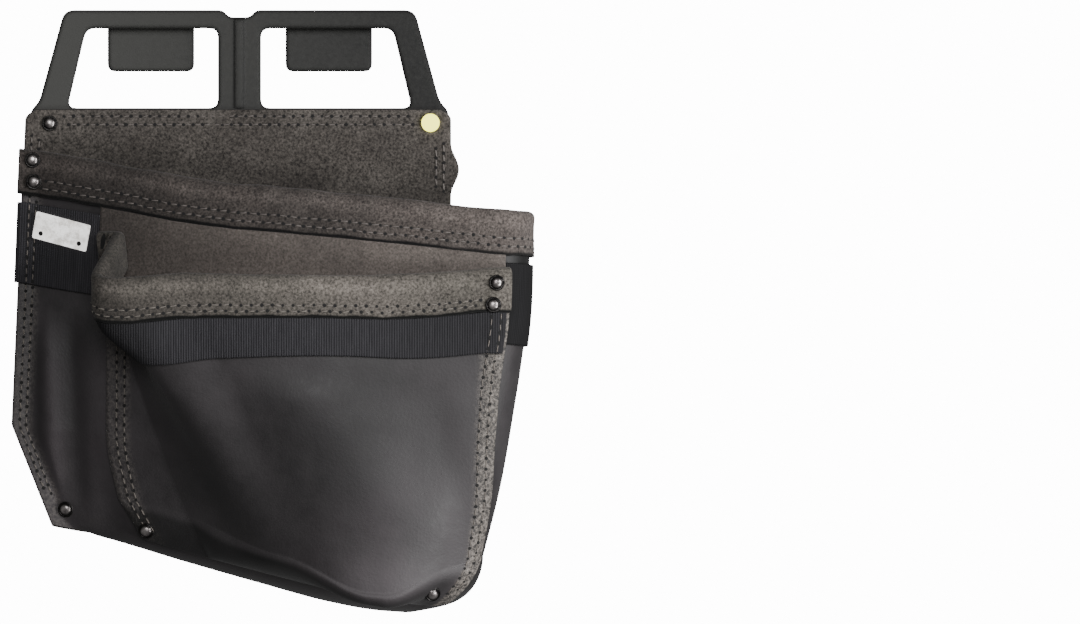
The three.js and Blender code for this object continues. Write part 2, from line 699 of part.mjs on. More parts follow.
// Skin of what lies on the main pouch below its collar, from a distance under the collar's hem down
// to the band's lower edge
function onPouch(along, down, top) {
  const hem = COLLAR_HEIGHT - (LEATHER / 2 + GAP + SUEDE);
  const fall = fallOf(pouchSkin, along, hem + lerp(top, MAIN_BAND_GAP + BAND_WIDTH, down));
  const normal = skinNormal(pouchSkin, along + 0.002, fall);
  return pouchSkin(along, fall).addScaledVector(normal, GAP + WEBBING);
}

// Skin of the main webbing band. Negative along wraps round the panel's left edge to its back.
function mainBandSkin(along, down) {
  const offset = GAP + WEBBING;
  const front = onPouch(Math.max(along, 0), down, MAIN_BAND_GAP);
  if (along >= 0) return front;
  const radius = offset + 0.2;
  const rear = PANEL_FRONT + LEATHER + offset;
  const away = -along;
  const flank = front.x - radius;
  if (away < 0.25) {
    const angle = (away / 0.25) * (Math.PI / 2);
    return new THREE.Vector3(
      front.x - radius * Math.sin(angle),
      front.y + radius * (1 - Math.cos(angle)),
      front.z,
    );
  }
  if (away < 0.4) {
    const share = (away - 0.25) / 0.15;
    return new THREE.Vector3(flank, lerp(front.y + radius, rear - radius, share), front.z);
  }
  if (away < 0.65) {
    const angle = ((away - 0.4) / 0.25) * (Math.PI / 2);
    return new THREE.Vector3(
      front.x - radius * Math.cos(angle),
      rear - radius * (1 - Math.sin(angle)),
      front.z,
    );
  }
  const run = ((away - 0.65) / 0.35) * BAND_WRAP_RUN;
  return new THREE.Vector3(front.x + run, rear, front.z);
}

function mainBandGeometry() {
  const wrap = [-1, -0.65, -0.57, -0.48, -0.4, -0.25, -0.17, -0.08];
  const columns = POUCH_COLUMNS.filter((along) => along < BACKING_START - BACKING_SEAM);
  return sheet(mainBandSkin, [...wrap, ...columns, BACKING_START - BACKING_SEAM], steps(0, 1, 4), WEBBING);
}

function rightBandGeometry() {
  const start = BACKING_END + BACKING_SEAM;
  const columns = POUCH_COLUMNS.filter((along) => along > start && along < RIM_END);
  return sheet(mainBandSkin, [start, ...columns, RIM_END], steps(0, 1, 4), WEBBING);
}

function pocketBackGeometry() {
  const skin = (along, down) => onPouch(along, down, GAP);
  const columns = POUCH_COLUMNS.filter((along) => along > BACKING_START && along < BACKING_END);
  return sheet(skin, [BACKING_START, ...columns, BACKING_END], steps(0, 1, 4), WEBBING);
}

function frontPocketGeometry() {
  const falls = [...steps(0, 1, 14), ...steps(1, 2, 7).slice(1)];
  return sheet(pocketSkin, POCKET_COLUMNS, falls, LEATHER);
}

function frontCollarGeometry() {
  const columns = POCKET_COLUMNS.filter((along) => along > COLLAR_START);
  return collarSheet(pocketSkin, LEATHER, [COLLAR_START, ...columns]);
}

// The front band starts under the collar, with its upper half hidden by it
function frontBandSkin(along, down) {
  const bottom = COLLAR_HEIGHT - (LEATHER / 2 + GAP + SUEDE) + FRONT_BAND_SHOWING;
  const top = COLLAR_HEIGHT - (LEATHER / 2 + GAP + SUEDE) + GAP;
  const fall = fallOf(pocketSkin, along, lerp(top, bottom, down));
  return pocketSkin(along, fall).addScaledVector(skinNormal(pocketSkin, along, fall), GAP + WEBBING);
}

function frontBandGeometry() {
  const columns = POCKET_COLUMNS.filter((along) => along > COLLAR_START && along < 0.96);
  return sheet(frontBandSkin, [COLLAR_START, ...columns], steps(0, 1, 4), WEBBING);
}

function rivetGeometry() {
  const profile = [
    [0, 0],
    [RIVET_RADIUS * 0.92, 0],
    [RIVET_RADIUS, RIVET_HEIGHT * 0.3],
    [RIVET_RADIUS * 0.68, RIVET_HEIGHT * 0.6],
    [RIVET_RADIUS * 0.45, RIVET_HEIGHT],
    [0, RIVET_HEIGHT],
  ].map(([radius, height]) => new THREE.Vector2(radius, height));
  return new THREE.LatheGeometry(profile, 12);
}

// Stands a piece made along +Y on a surface point, facing along its normal
function seat(made, place, normal) {
  made.position.copy(place);
  made.quaternion.setFromUnitVectors(new THREE.Vector3(0, 1, 0), normal);
  return made;
}

// Point and normal a given height off a skin, found by the front-view place
function offSkin(skin, x, z, height, start) {
  const { u, v } = parametersAt(skin, x, z, start[0], start[1]);
  const normal = skinNormal(skin, u, v);
  return { place: skin(u, v).addScaledVector(normal, height), normal };
}

function rivet(name, seatPlace) {
  return seat(mesh(name, rivetGeometry(), COLOURS.steel, 0.35, 0.8), seatPlace.place, seatPlace.normal);
}

function panelPlace(x, z, height) {
  return { place: point(x, height, z), normal: new THREE.Vector3(0, -1, 0) };
}

function labelPlateGeometry() {
  const half = [LABEL_WIDTH / 2, LABEL_HEIGHT / 2];
  const outline = roundedOutline([
    [-half[0], -half[1], 0.8],
    [half[0], -half[1], 0.8],
    [half[0], half[1], 0.8],
    [-half[0], half[1], 0.8],
  ]);
  for (const side of [-1, 1]) {
    const hole = new THREE.Path();
    hole.absarc(side * (half[0] - 4.3), -half[1] + 3.2, LABEL_HOLE, 0, Math.PI * 2, true);
    outline.holes.push(hole);
  }
  const geometry = new THREE.ExtrudeGeometry(outline, {
    depth: LABEL_THICKNESS,
    bevelEnabled: false,
    curveSegments: 5,
  });
  return geometry;
}

function labelPlate() {
  const offset = GAP + WEBBING + GAP + 0.2;
  const { place, normal } = offSkin(pouchSkin, -87.8, -101.8, offset, [0.08, 0.25]);
  const plate = mesh("label_plate", labelPlateGeometry(), COLOURS.silver, 0.35, 0.7);
  const right = new THREE.Vector3(0, 0, 1).cross(normal).normalize();
  const up = normal.clone().cross(right);
  const tilt = THREE.MathUtils.degToRad(-LABEL_TILT);
  const across = right.clone().multiplyScalar(Math.cos(tilt)).addScaledVector(up, Math.sin(tilt));
  const along = normal.clone().cross(across);
  plate.matrixAutoUpdate = false;
  plate.matrix.makeBasis(across, along, normal).setPosition(place);
  return plate;
}

function markerDisc() {
  const disc = mesh(
    "marker_disc",
    new THREE.CylinderGeometry(MARKER_RADIUS, MARKER_RADIUS, MARKER_THICKNESS, 32),
    COLOURS.marker,
    0.5,
  );
  const { place, normal } = panelPlace(96, -47.5, GAP + MARKER_THICKNESS / 2);
  return seat(disc, place, normal);
}

// How far in each rivet sits from the side, top or foot that it follows
const RIVET_INSETS = {
  hanger: { side: 11.8, down: 6.8 },
  collarTop: { side: 3.6, down: 3 },
  collarBottom: { side: 3.6, down: 13.8 },
  mainBottom: { side: 7, up: 7.5 },
  pocketLeftTop: { side: 5, down: 6 },
  pocketLeftBottom: { side: 19.6, up: 7.3 },
  pocketRightTop: { side: 17, down: 4 },
  pocketRightMiddle: { side: 18.5, down: 15.5 },
  pocketRightBottom: { side: 48, up: 9.5 },
};

function rivets() {
  const overCollar = GAP + SUEDE + GAP + 0.2;
  const overLeather = GAP + 0.2;
  const { hanger, collarTop, collarBottom, mainBottom } = RIVET_INSETS;
  const { pocketLeftTop, pocketLeftBottom } = RIVET_INSETS;
  const { pocketRightTop, pocketRightMiddle, pocketRightBottom } = RIVET_INSETS;
  const panelLeft = (inset) => -(PANEL_TOP_LEFT - inset.side);
  const collarDrop = (inset) => -(POUCH_MOUTH_LEFT_DROP + inset.down);
  const pocketLeft = (inset) => -(POCKET_LEFT - inset.side);
  const pocketRight = (inset) => POUCH_REACH - inset.side;
  const rightDrop = (inset) => -(POCKET_MOUTH_RIGHT_DROP + inset.down);
  const seats = {
    rivet_hanger: panelPlace(panelLeft(hanger), -(PANEL_TOP_DROP + hanger.down), GAP),
    rivet_main_collar_top: offSkin(
      pouchSkin, panelLeft(collarTop), collarDrop(collarTop), overCollar, [0.02, 0.05],
    ),
    rivet_main_collar_bottom: offSkin(
      pouchSkin, panelLeft(collarBottom), collarDrop(collarBottom), overCollar, [0.02, 0.1],
    ),
    rivet_main_bottom: offSkin(
      pouchSkin, -(PANEL_FOOT_LEFT - mainBottom.side), -(POUCH_LOW_LEFT_DROP - mainBottom.up),
      overLeather, [0.04, 1.2],
    ),
    rivet_pocket_left_top: offSkin(
      sewnSkin, pocketLeft(pocketLeftTop), -(POCKET_MOUTH_SEAM_DROP + pocketLeftTop.down),
      overLeather, [0.15, 0.25],
    ),
    rivet_pocket_left_bottom: offSkin(
      sewnSkin, pocketLeft(pocketLeftBottom), -(POCKET_CREST_TURN_DROP - pocketLeftBottom.up),
      overLeather, [0.2, 1.1],
    ),
    rivet_pocket_right_top: offSkin(
      pocketSkin, pocketRight(pocketRightTop), rightDrop(pocketRightTop), overCollar, [0.97, 0.05],
    ),
    rivet_pocket_right_middle: offSkin(
      pocketSkin, pocketRight(pocketRightMiddle), rightDrop(pocketRightMiddle), overCollar, [0.97, 0.1],
    ),
    rivet_pocket_right_bottom: offSkin(
      pocketSkin, pocketRight(pocketRightBottom), -(POUCH_LOW_RIGHT_DROP - pocketRightBottom.up),
      overLeather, [0.85, 1.3],
    ),
  };
  return Object.entries(seats).map(([name, place]) => rivet(name, place));
}

const pouch = new THREE.Group();
pouch.add(
  mesh("hanger", hangerGeometry(), COLOURS.plastic, 0.55),
  mesh("back_panel", backPanelGeometry(), COLOURS.backSuede, 0.95),
  mesh("main_pouch", mainPouchGeometry(), COLOURS.leather, 0.6),
  mesh("main_collar", mainCollarGeometry(), COLOURS.collarSuede, 0.95),
  mesh("main_webbing", mainBandGeometry(), COLOURS.webbing, 0.8),
  mesh("main_webbing_right", rightBandGeometry(), COLOURS.webbing, 0.8),
  mesh("pocket_back", pocketBackGeometry(), COLOURS.collarSuede, 0.95),
  mesh("front_pocket", frontPocketGeometry(), COLOURS.leather, 0.6),
  mesh("front_collar", frontCollarGeometry(), COLOURS.paleSuede, 0.95),
  mesh("front_webbing", frontBandGeometry(), COLOURS.webbing, 0.8),
  labelPlate(),
  markerDisc(),
  ...rivets(),
);

export default pouch;
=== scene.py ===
"""Looks of a carpenter's nail pouch: leather, suede, webbing, stitches, rivets, light and camera.

The surfaces are the frame's own, worked out again from the same named sizes, in millimetres.
"""

import math

import bpy
import numpy as np
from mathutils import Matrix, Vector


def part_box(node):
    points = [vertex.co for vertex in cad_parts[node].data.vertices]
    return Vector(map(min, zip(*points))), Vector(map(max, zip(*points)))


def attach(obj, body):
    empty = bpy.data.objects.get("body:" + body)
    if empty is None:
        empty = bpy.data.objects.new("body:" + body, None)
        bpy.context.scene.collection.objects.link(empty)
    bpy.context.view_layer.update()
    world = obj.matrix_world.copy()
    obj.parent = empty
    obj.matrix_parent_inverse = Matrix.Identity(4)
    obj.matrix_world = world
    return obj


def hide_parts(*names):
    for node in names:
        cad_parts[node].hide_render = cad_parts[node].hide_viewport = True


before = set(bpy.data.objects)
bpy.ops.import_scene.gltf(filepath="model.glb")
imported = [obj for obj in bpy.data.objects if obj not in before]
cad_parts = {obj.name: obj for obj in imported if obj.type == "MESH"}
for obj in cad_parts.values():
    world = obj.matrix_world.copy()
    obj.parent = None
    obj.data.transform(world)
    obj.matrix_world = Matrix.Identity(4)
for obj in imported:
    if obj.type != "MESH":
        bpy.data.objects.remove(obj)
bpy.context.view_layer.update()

MM = 0.001

# Thicknesses and gaps
LEATHER = 2.4
SUEDE = 2.0
WEBBING = 1.6
GAP = 0.4
PANEL_FRONT = -9.8

# Back panel
PANEL_TOP_DROP = 41
PANEL_TOP_LEFT = 107
PANEL_TOP_RIGHT = 106
PANEL_TOP_CORNER = 5
PANEL_CORNER_LEFT = 114
PANEL_CORNER_DROP = 199
PANEL_FOOT_LEFT = 94
PANEL_FOOT_DROP = 249
PANEL_EAR = 4
PANEL_EAR_DROP = 71
PANEL_EAR_HEIGHT = 26
PANEL_FOOT_RIGHT = 101

# Main pouch
POUCH_REACH = 146
POUCH_DEPTH = 56
POUCH_SEAM_REACH = 104.5
POUCH_CORNER = 18
POUCH_MOUTH_LEFT_DROP = 64
POUCH_MOUTH_RIGHT_DROP = 94.5
POUCH_MOUTH_SEAM_DROP = 97.5
POUCH_LOW_LEFT_DROP = 249
POUCH_LOW_RIGHT_DROP = 294
POUCH_LOW_SEAM_DROP = 284
POUCH_TURN_LEFT = 17
POUCH_TURN = 24
SEAM_FLAT = 8

# Collars and webbing bands
COLLAR_HEIGHT = 22.5
COLLAR_INSIDE = 17
COLLAR_PAST_EDGE = 2.2
BAND_WIDTH = 40
MAIN_BAND_GAP = 4.5
BAND_WRAP_RUN = 12
FRONT_BAND_SHOWING = 20
BACKING_START = 0.12
BACKING_END = 0.728
BACKING_SEAM = 0.0013

# Front pocket
POCKET_LEFT = 65
POCKET_DEPTH = 70
POCKET_SEAM = 12
POCKET_MOUTH_SEAM_DROP = 105
POCKET_MOUTH_CREST_DROP = 126
POCKET_MOUTH_DROP = 127.5
POCKET_MOUTH_RIGHT_DROP = 123.5
POCKET_CREST_TURN_DROP = 259
POCKET_FACE_TURN_DROP = 273
POCKET_UNDER = 0.42
POCKET_DRIFT = 0.04
POCKET_END_WRAP = 0.24

FRONT_SHARE = 0.7
CORNER_SHARE = 0.14
RIM_END = 0.962
COLLAR_START = 0.045
UNDER_ANGLE = math.radians(112)

# Main pouch sections: fall, then belly, depth and seam as shares
POUCH_ROWS = {
    "fall": [0, 0.3, 0.55, 0.8, 1, 2],
    "belly": [1, 0.99, 0.948, 0.897, 0.84, 0.64],
    "depth": [0.92, 0.97, 1, 0.97, 0.86, 0],
    "seam": [1, 0.995, 0.98, 0.965, 0.95, 0.955],
}

# Slope of the mouth and of the lowest line along the front
POUCH_LINES = {
    "front": [0, 0.15, 0.385, 0.6, 0.8, 0.92, 1],
    "mouth": [0, 0.19, 0.52, 0.68, 0.83, 0.93, 1],
    "low": [0, 0.145, 0.42, 0.66, 0.87, 0.955, 0.98],
}

# Front pocket sections
POCKET_ROWS = {
    "fall": [0, 0.18, 0.3, 0.45, 0.6, 0.8, 1],
    "edge": [1.05, 1.02, 1, 1, 1, 0.995, 0.91],
    "foot": [0.9, 0.87, 0.85, 0.82, 0.72, 0.56, 0.38],
    "crest": [1.08, 1.02, 0.75, 0.54, 0.35, 0.11, -0.11],
    "crestDepth": [0.85, 0.83, 0.78, 0.75, 0.72, 0.69, 0.66],
    "faceDepth": [0.97, 0.985, 1, 1, 0.985, 0.98, 0.94],
    "wrap": [0.22, 0.23, 0.25, 0.3, 0.36, 0.5, 0.6],
}
POCKET_STATIONS = [0.035, 0.11, 0.18, 0.36, 0.6, 0.82, 0.95]
FACE_SHARES = [0.25, 0.54, 0.8]
FACE_MIDDLE = 0.54
FOOT_TO_CREST = 0.52


def smoothstep(low, high, value):
    t = np.clip((np.asarray(value, float) - low) / (high - low), 0, 1)
    return t * t * (3 - 2 * t)


def window(value, start, full, fading, end):
    """0 before start, 1 from full to fading and 0 after end."""
    return smoothstep(start, full, value) * (1 - smoothstep(fading, end, value))


def lerp(a, b, t):
    return a + (b - a) * t


def paired(u, v):
    return np.broadcast_arrays(np.asarray(u, float), np.asarray(v, float))


def running_total(steps):
    return np.concatenate([[0], np.cumsum(steps)])


def spokes(sides, one, two):
    """Steps of length 1 from a middle to the points of a circle across two directions."""
    angles = 2 * math.pi * np.arange(sides)[:, None] / sides
    return np.cos(angles) * one + np.sin(angles) * two


def smooth_through(stations, values, at):
    """A smooth curve through values at unevenly spaced stations."""
    x = np.asarray(stations, float)
    y = np.asarray(values, float)
    at = np.asarray(at, float)
    slope = np.diff(y, axis=0) / np.diff(x).reshape(-1, *[1] * (y.ndim - 1))
    gap = np.diff(x).reshape(-1, *[1] * (y.ndim - 1))
    inner = (slope[1:] * gap[:-1] + slope[:-1] * gap[1:]) / (gap[:-1] + gap[1:])
    tangent = np.concatenate([slope[:1], inner, slope[-1:]])
    i = np.searchsorted(x[1:-1], at, side="left")
    span = x[i + 1] - x[i]
    t = ((at - x[i]) / span).reshape(at.shape + (1,) * (y.ndim - 1))
    span = span.reshape(t.shape)
    chord = lerp(y[i], y[i + 1], t * t * (3 - 2 * t))
    leaving = tangent[i] * span * t * (1 - t) ** 2
    return chord + leaving - tangent[i + 1] * span * t * t * (1 - t)


def unit(v):
    return v / np.maximum(np.linalg.norm(v, axis=-1, keepdims=True), 1e-12)


def left_edge(z):
    upper = (-PANEL_TOP_DROP - z) / (PANEL_CORNER_DROP - PANEL_TOP_DROP)
    lower = (-PANEL_CORNER_DROP - z) / (PANEL_FOOT_DROP - PANEL_CORNER_DROP)
    return np.where(
        upper <= 1,
        -lerp(PANEL_TOP_LEFT, PANEL_CORNER_LEFT, upper),
        -lerp(PANEL_CORNER_LEFT, PANEL_FOOT_LEFT, lower),
    )


def pouch_place(u):
    """Front share, mouth height, lowest height and turn height along the main pouch."""
    front = np.clip(u / FRONT_SHARE, 0, 1)
    side = np.clip((u - FRONT_SHARE) / (1 - FRONT_SHARE), 0, 1)
    low_line = smooth_through(POUCH_LINES["front"], POUCH_LINES["low"], front)
    mouth_line = smooth_through(POUCH_LINES["front"], POUCH_LINES["mouth"], front)
    low = lerp(-POUCH_LOW_LEFT_DROP, -POUCH_LOW_RIGHT_DROP, low_line)
    low = low + (POUCH_LOW_RIGHT_DROP - POUCH_LOW_SEAM_DROP) * side
    mouth = lerp(-POUCH_MOUTH_LEFT_DROP, -POUCH_MOUTH_RIGHT_DROP, mouth_line)
    mouth = mouth + (POUCH_MOUTH_RIGHT_DROP - POUCH_MOUTH_SEAM_DROP) * side
    turn = lerp(POUCH_TURN_LEFT, POUCH_TURN, smoothstep(0, 0.3, front))
    return front, mouth, low, low + turn


def pouch_skin(along, fall):
    """Outer skin of the main pouch, in millimetres."""
    along, fall = paired(along, fall)
    front, mouth, low, turn = pouch_place(along)
    under = np.maximum(0, fall - 1)
    angle = under * UNDER_ANGLE
    end = math.cos(UNDER_ANGLE)
    tucked = (np.cos(angle) - end) / (1 - end)
    sunk = lerp(under, np.sin(angle), smoothstep(0, 0.15, front))
    is_under = under > 0
    z = np.where(is_under, turn - (turn - low) * sunk, lerp(mouth, turn, fall))
    _, mouth0, low0, turn0 = pouch_place(np.zeros(1))
    wall_edge = left_edge(lerp(mouth0[0], turn0[0], np.minimum(fall, 1)))
    under_edge = left_edge(lerp(turn0[0], low0[0], under))
    edge = np.where(is_under, under_edge, wall_edge)

    def ease(column):
        rows = POUCH_ROWS[column]
        wall = smooth_through(POUCH_ROWS["fall"][:-1], rows[:-1], np.minimum(fall, 1))
        return np.where(is_under, lerp(rows[-2], rows[-1], 1 - tucked), wall)

    belly = POUCH_REACH * ease("belly")
    seam = POUCH_SEAM_REACH * ease("seam")
    depth = POUCH_DEPTH * ease("depth")
    corner_depth = (POUCH_CORNER + 2) * ease("depth")
    fold = (SUEDE + GAP) * (1 - smoothstep(COLLAR_HEIGHT, 2 * COLLAR_HEIGHT, mouth - z))
    outer = GAP + LEATHER + fold
    flange = lerp(outer, GAP, under * smoothstep(0, 0.2, front))
    corner_start = belly - POUCH_CORNER

    s = along / FRONT_SHARE
    flat = SEAM_FLAT / (corner_start - edge)
    rise = np.clip((s - flat) / (1 - flat), 0, 1)
    x_front = lerp(edge, corner_start, s)
    d_front = flange + depth * (1 - (1 - rise) ** 1.8)

    turned = np.clip((along - FRONT_SHARE) / CORNER_SHARE, 0, 1) * math.pi / 2
    x_corner = corner_start + POUCH_CORNER * np.sin(turned)
    d_corner = flange + depth - corner_depth * (1 - np.cos(turned))

    rest = 1 - FRONT_SHARE - CORNER_SHARE
    back = np.clip((along - FRONT_SHARE - CORNER_SHARE) / rest, 0, 1)
    start = flange + depth - corner_depth
    x_side = (1 - back * back) * belly + back * back * seam
    d_side = (1 - back) ** 2 * start + 2 * back * (1 - back) * 0.3 * depth
    d_side = d_side + back * back * GAP

    on_front = along <= FRONT_SHARE
    on_corner = along <= FRONT_SHARE + CORNER_SHARE
    x = np.where(on_front, x_front, np.where(on_corner, x_corner, x_side))
    d = np.where(on_front, d_front, np.where(on_corner, d_corner, d_side))
    return np.stack([x, PANEL_FRONT - d, z], -1)


def skin_normal(skin, u, v, step=1e-3):
    across = skin(u + step, v) - skin(u - step, v)
    down = skin(u, v + step) - skin(u, v - step)
    return unit(np.cross(down, across))


def parameters_at(skin, x, z, u, v, step=1e-3):
    """Parameters of the skin's points at a given x and z."""
    x, z = paired(x, z)
    u = np.full(x.shape, float(u))
    v = np.full(x.shape, float(v))
    for _ in range(14):
        here = skin(u, v)
        across = (skin(u + step, v) - here) / step
        down = (skin(u, v + step) - here) / step
        det = across[..., 0] * down[..., 2] - across[..., 2] * down[..., 0]
        miss_x = x - here[..., 0]
        miss_z = z - here[..., 2]
        u = u + np.clip((miss_x * down[..., 2] - miss_z * down[..., 0]) / det, -0.2, 0.2)
        v = v + np.clip((miss_z * across[..., 0] - miss_x * across[..., 2]) / det, -0.3, 0.3)
    return u, v


def pocket_lift(along, fall):
    """How far the pocket's outer skin lies off the main pouch where it is sewn to it."""
    _, mouth, _, turn = pouch_place(along)
    drop = fall * (mouth - turn)
    band_end = COLLAR_HEIGHT + MAIN_BAND_GAP + BAND_WIDTH
    seam_top = np.where(along < FRONT_SHARE / 2, POCKET_MOUTH_SEAM_DROP, POCKET_MOUTH_RIGHT_DROP)
    collar_end = seam_top + mouth + COLLAR_HEIGHT
    over_band = 1 - smoothstep(0, 20, drop - band_end)
    over_collar = 1 - smoothstep(0, COLLAR_HEIGHT, drop - collar_end)
    sag = GAP * np.maximum(0, fall - 1)
    return GAP + LEATHER + sag + (WEBBING + GAP) * over_band + (SUEDE + GAP) * over_collar


def sewn_skin(u, v):
    return pouch_skin(u, v) + skin_normal(pouch_skin, u, v) * pocket_lift(u, v)[..., None]


def pocket_sections(falls):
    """Seam places and station points of the pocket, one row for each fall."""
    falls = np.asarray(falls, float)
    wall = np.minimum(falls, 1)
    under = np.maximum(0, falls - 1)

    def row(column):
        return smooth_through(POCKET_ROWS["fall"], POCKET_ROWS[column], wall)

    def sewn(x, mouth_drop):
        turn_u, _ = parameters_at(pouch_skin, x, POUCH_TURN - POCKET_FACE_TURN_DROP, 0.4, 0.5)
        turn_z = pouch_place(turn_u)[3]
        u, v = parameters_at(pouch_skin, x, lerp(-mouth_drop, turn_z, wall), 0.4, 0.5)
        return u + under * POCKET_DRIFT, v + under * POCKET_UNDER

    def sewn_along(along):
        _, mouth, _, turn = pouch_place(along)
        z = lerp(-POCKET_MOUTH_RIGHT_DROP, turn, wall)
        return along, (mouth - z) / (mouth - turn) + under * POCKET_UNDER

    wrapped = FRONT_SHARE + CORNER_SHARE * row("wrap")
    right_edge = lerp(wrapped, FRONT_SHARE + CORNER_SHARE * POCKET_END_WRAP, under)
    seam_share = POCKET_SEAM * FRONT_SHARE / (POUCH_REACH - POUCH_CORNER + PANEL_TOP_LEFT)
    seams = [
        sewn(-POCKET_LEFT * row("edge"), POCKET_MOUTH_SEAM_DROP),
        sewn(-POCKET_LEFT * row("foot"), POCKET_MOUTH_SEAM_DROP),
        sewn_along(right_edge - seam_share),
        sewn_along(right_edge),
    ]
    foot = sewn_skin(*seams[1])
    right_foot = sewn_skin(*seams[2])
    face_z = lerp(-POCKET_MOUTH_DROP, -POCKET_FACE_TURN_DROP, wall)
    crest_z = lerp(-POCKET_MOUTH_CREST_DROP, -POCKET_CREST_TURN_DROP, wall)
    crest_x = -POCKET_LEFT * row("crest")
    crest_y = PANEL_FRONT - POCKET_DEPTH * row("crestDepth")
    crest = np.stack([crest_x, crest_y, crest_z], -1)
    points = [foot, lerp(foot, crest, FOOT_TO_CREST), crest]
    for share in FACE_SHARES:
        middle = 1 - ((share - FACE_MIDDLE) / (1 - FACE_MIDDLE)) ** 2
        sides = lerp(crest_y, right_foot[:, 1], share)
        y = lerp(sides, PANEL_FRONT - POCKET_DEPTH * row("faceDepth"), middle * 0.9)
        z = lerp(crest_z, face_z, smoothstep(0, 0.5, share))
        z = lerp(z, right_foot[:, 2], smoothstep(0.75, 1, share))
        points.append(np.stack([lerp(crest_x, right_foot[:, 0], share), y, z], -1))
    points = np.stack(points + [right_foot])
    return seams, points


def pocket_grid(us, falls):
    """The pocket's outer skin on a grid, rows by fall and columns by place along it."""
    seams, points = pocket_sections(falls)
    _, turned = pocket_sections(np.ones(1))
    low = falls > 1
    angle = ((falls[low] - 1) * math.pi / 2)[:, None]
    for k in range(1, len(points) - 1):
        start = turned[k, 0]
        half_way = pouch_place(np.array(FRONT_SHARE / 2))[3]
        near, _ = parameters_at(pouch_skin, start[0], half_way, 0.4, 0.5)
        u, _ = parameters_at(pouch_skin, start[0], pouch_place(near)[3], 0.4, 0.5)
        end = sewn_skin(u, np.array(1 + POCKET_UNDER))
        shares = np.concatenate([1 - np.cos(angle), 1 - np.cos(angle), np.sin(angle)], 1)
        points[k, low] = lerp(start, end, shares)
    grid = np.zeros((len(falls), len(us), 3))
    first, last = POCKET_STATIONS[0], POCKET_STATIONS[-1]
    left = us <= first
    right = us >= last
    middle = ~(left | right)
    grid[:, middle] = np.moveaxis(smooth_through(POCKET_STATIONS, points, us[middle]), 0, 1)
    for where, share, a, b in (
        (left, us[left] / first, seams[0], seams[1]),
        (right, (us[right] - last) / (1 - last), seams[2], seams[3]),
    ):
        u = lerp(a[0][:, None], b[0][:, None], share[None, :])
        v = lerp(a[1][:, None], b[1][:, None], share[None, :])
        grid[:, where] = sewn_skin(u, v)
    return grid


class Skin:
    """A surface held as samples over two parameters and read between them."""

    def __init__(self, us, vs, points):
        self.us = np.asarray(us, float)
        self.vs = np.asarray(vs, float)
        self.set(points)

    def set(self, points):
        self.points = points
        across = np.gradient(points, self.us, axis=1)
        down = np.gradient(points, self.vs, axis=0)
        self.normals = unit(np.cross(down, across))

    def read(self, values, u, v):
        u, v = paired(u, v)
        i = np.clip(np.searchsorted(self.us, u) - 1, 0, len(self.us) - 2)
        j = np.clip(np.searchsorted(self.vs, v) - 1, 0, len(self.vs) - 2)
        s = ((u - self.us[i]) / (self.us[i + 1] - self.us[i]))[..., None]
        t = ((v - self.vs[j]) / (self.vs[j + 1] - self.vs[j]))[..., None]
        upper = lerp(values[j, i], values[j, i + 1], s)
        return lerp(upper, lerp(values[j + 1, i], values[j + 1, i + 1], s), t)

    def normal(self, u, v):
        return unit(self.read(self.normals, u, v))

    def at(self, u, v, lift=0.0):
        return self.read(self.points, u, v) + self.normal(u, v) * np.asarray(lift)[..., None]

    def fall_of(self, u, drop):
        height = self.at(u, 0.0)[..., 2] - self.at(u, 1.0)[..., 2]
        return drop / height

    def place(self, x, z, u, v):
        """Nearest sample parameters to a front-view place, near a first guess."""
        du = np.abs(self.us - u) < 0.2
        dv = np.abs(self.vs - v) < 0.45
        part = self.points[np.ix_(dv, du)]
        miss = (part[..., 0] - x) ** 2 + (part[..., 2] - z) ** 2
        miss = np.where(self.normals[np.ix_(dv, du)][..., 1] < 0, miss, 1e9)
        j, i = np.unravel_index(np.argmin(miss), miss.shape)
        return self.us[du][i], self.vs[dv][j]


def fine_steps(*stops):
    """Values through stops given as (value, number of steps to the next)."""
    values = [stops[0][0]]
    for (a, count), (b, _) in zip(stops, stops[1:]):
        values += list(np.linspace(a, b, count + 1)[1:])
    return np.array(values)


# Surfaces with the folds that use has put into them
pouch_us = fine_steps((0, 60), (0.2, 80), (0.7, 50), (0.84, 40), (1, 0))
pouch_vs = fine_steps((0, 110), (1, 60), (2, 0))
pouch = Skin(pouch_us, pouch_vs, pouch_skin(pouch_us[None, :], pouch_vs[:, None]))

pocket_us = fine_steps(
    (0, 14), (0.035, 34), (0.12, 34), (0.2, 40), (0.4, 60), (0.7, 50), (0.95, 16), (1, 0)
)
pocket_vs = fine_steps((0, 130), (1, 50), (2, 0))
pocket = Skin(pocket_us, pocket_vs, pocket_grid(pocket_us, pocket_vs))


def bump_line(points, start, end, width, ends=14.0):
    """A soft ridge along a front-view line, 1 at its middle and 0 away from it."""
    a = np.array(start, float)
    b = np.array(end, float)
    along = (b - a) / np.linalg.norm(b - a)
    rel = points[..., [0, 2]] - a
    t = rel @ along
    away = rel[..., 0] * -along[1] + rel[..., 1] * along[0]
    length = np.linalg.norm(b - a)
    return np.exp(-((away / width) ** 2)) * window(t, -ends, ends, length - ends, length + ends)


def ridges(points, *rows):
    """Soft ridges given as (height, start, end, width) and perhaps ends, added up."""
    return sum(height * bump_line(points, *line) for height, *line in rows)


def waves(points, seed, size):
    """Smooth unevenness, about -1 to 1, with features of a given size in millimetres."""
    rng = np.random.default_rng(seed)
    total = np.zeros(points.shape[:-1])
    for _ in range(9):
        way = unit(rng.normal(size=3)) / (size * rng.uniform(0.6, 1.6))
        total = total + np.sin(2 * math.pi * (points @ way) + rng.uniform(0, 6.3))
    return total / 4.5


def folded(skin, amount):
    skin.set(skin.points + skin.normals * amount[..., None])


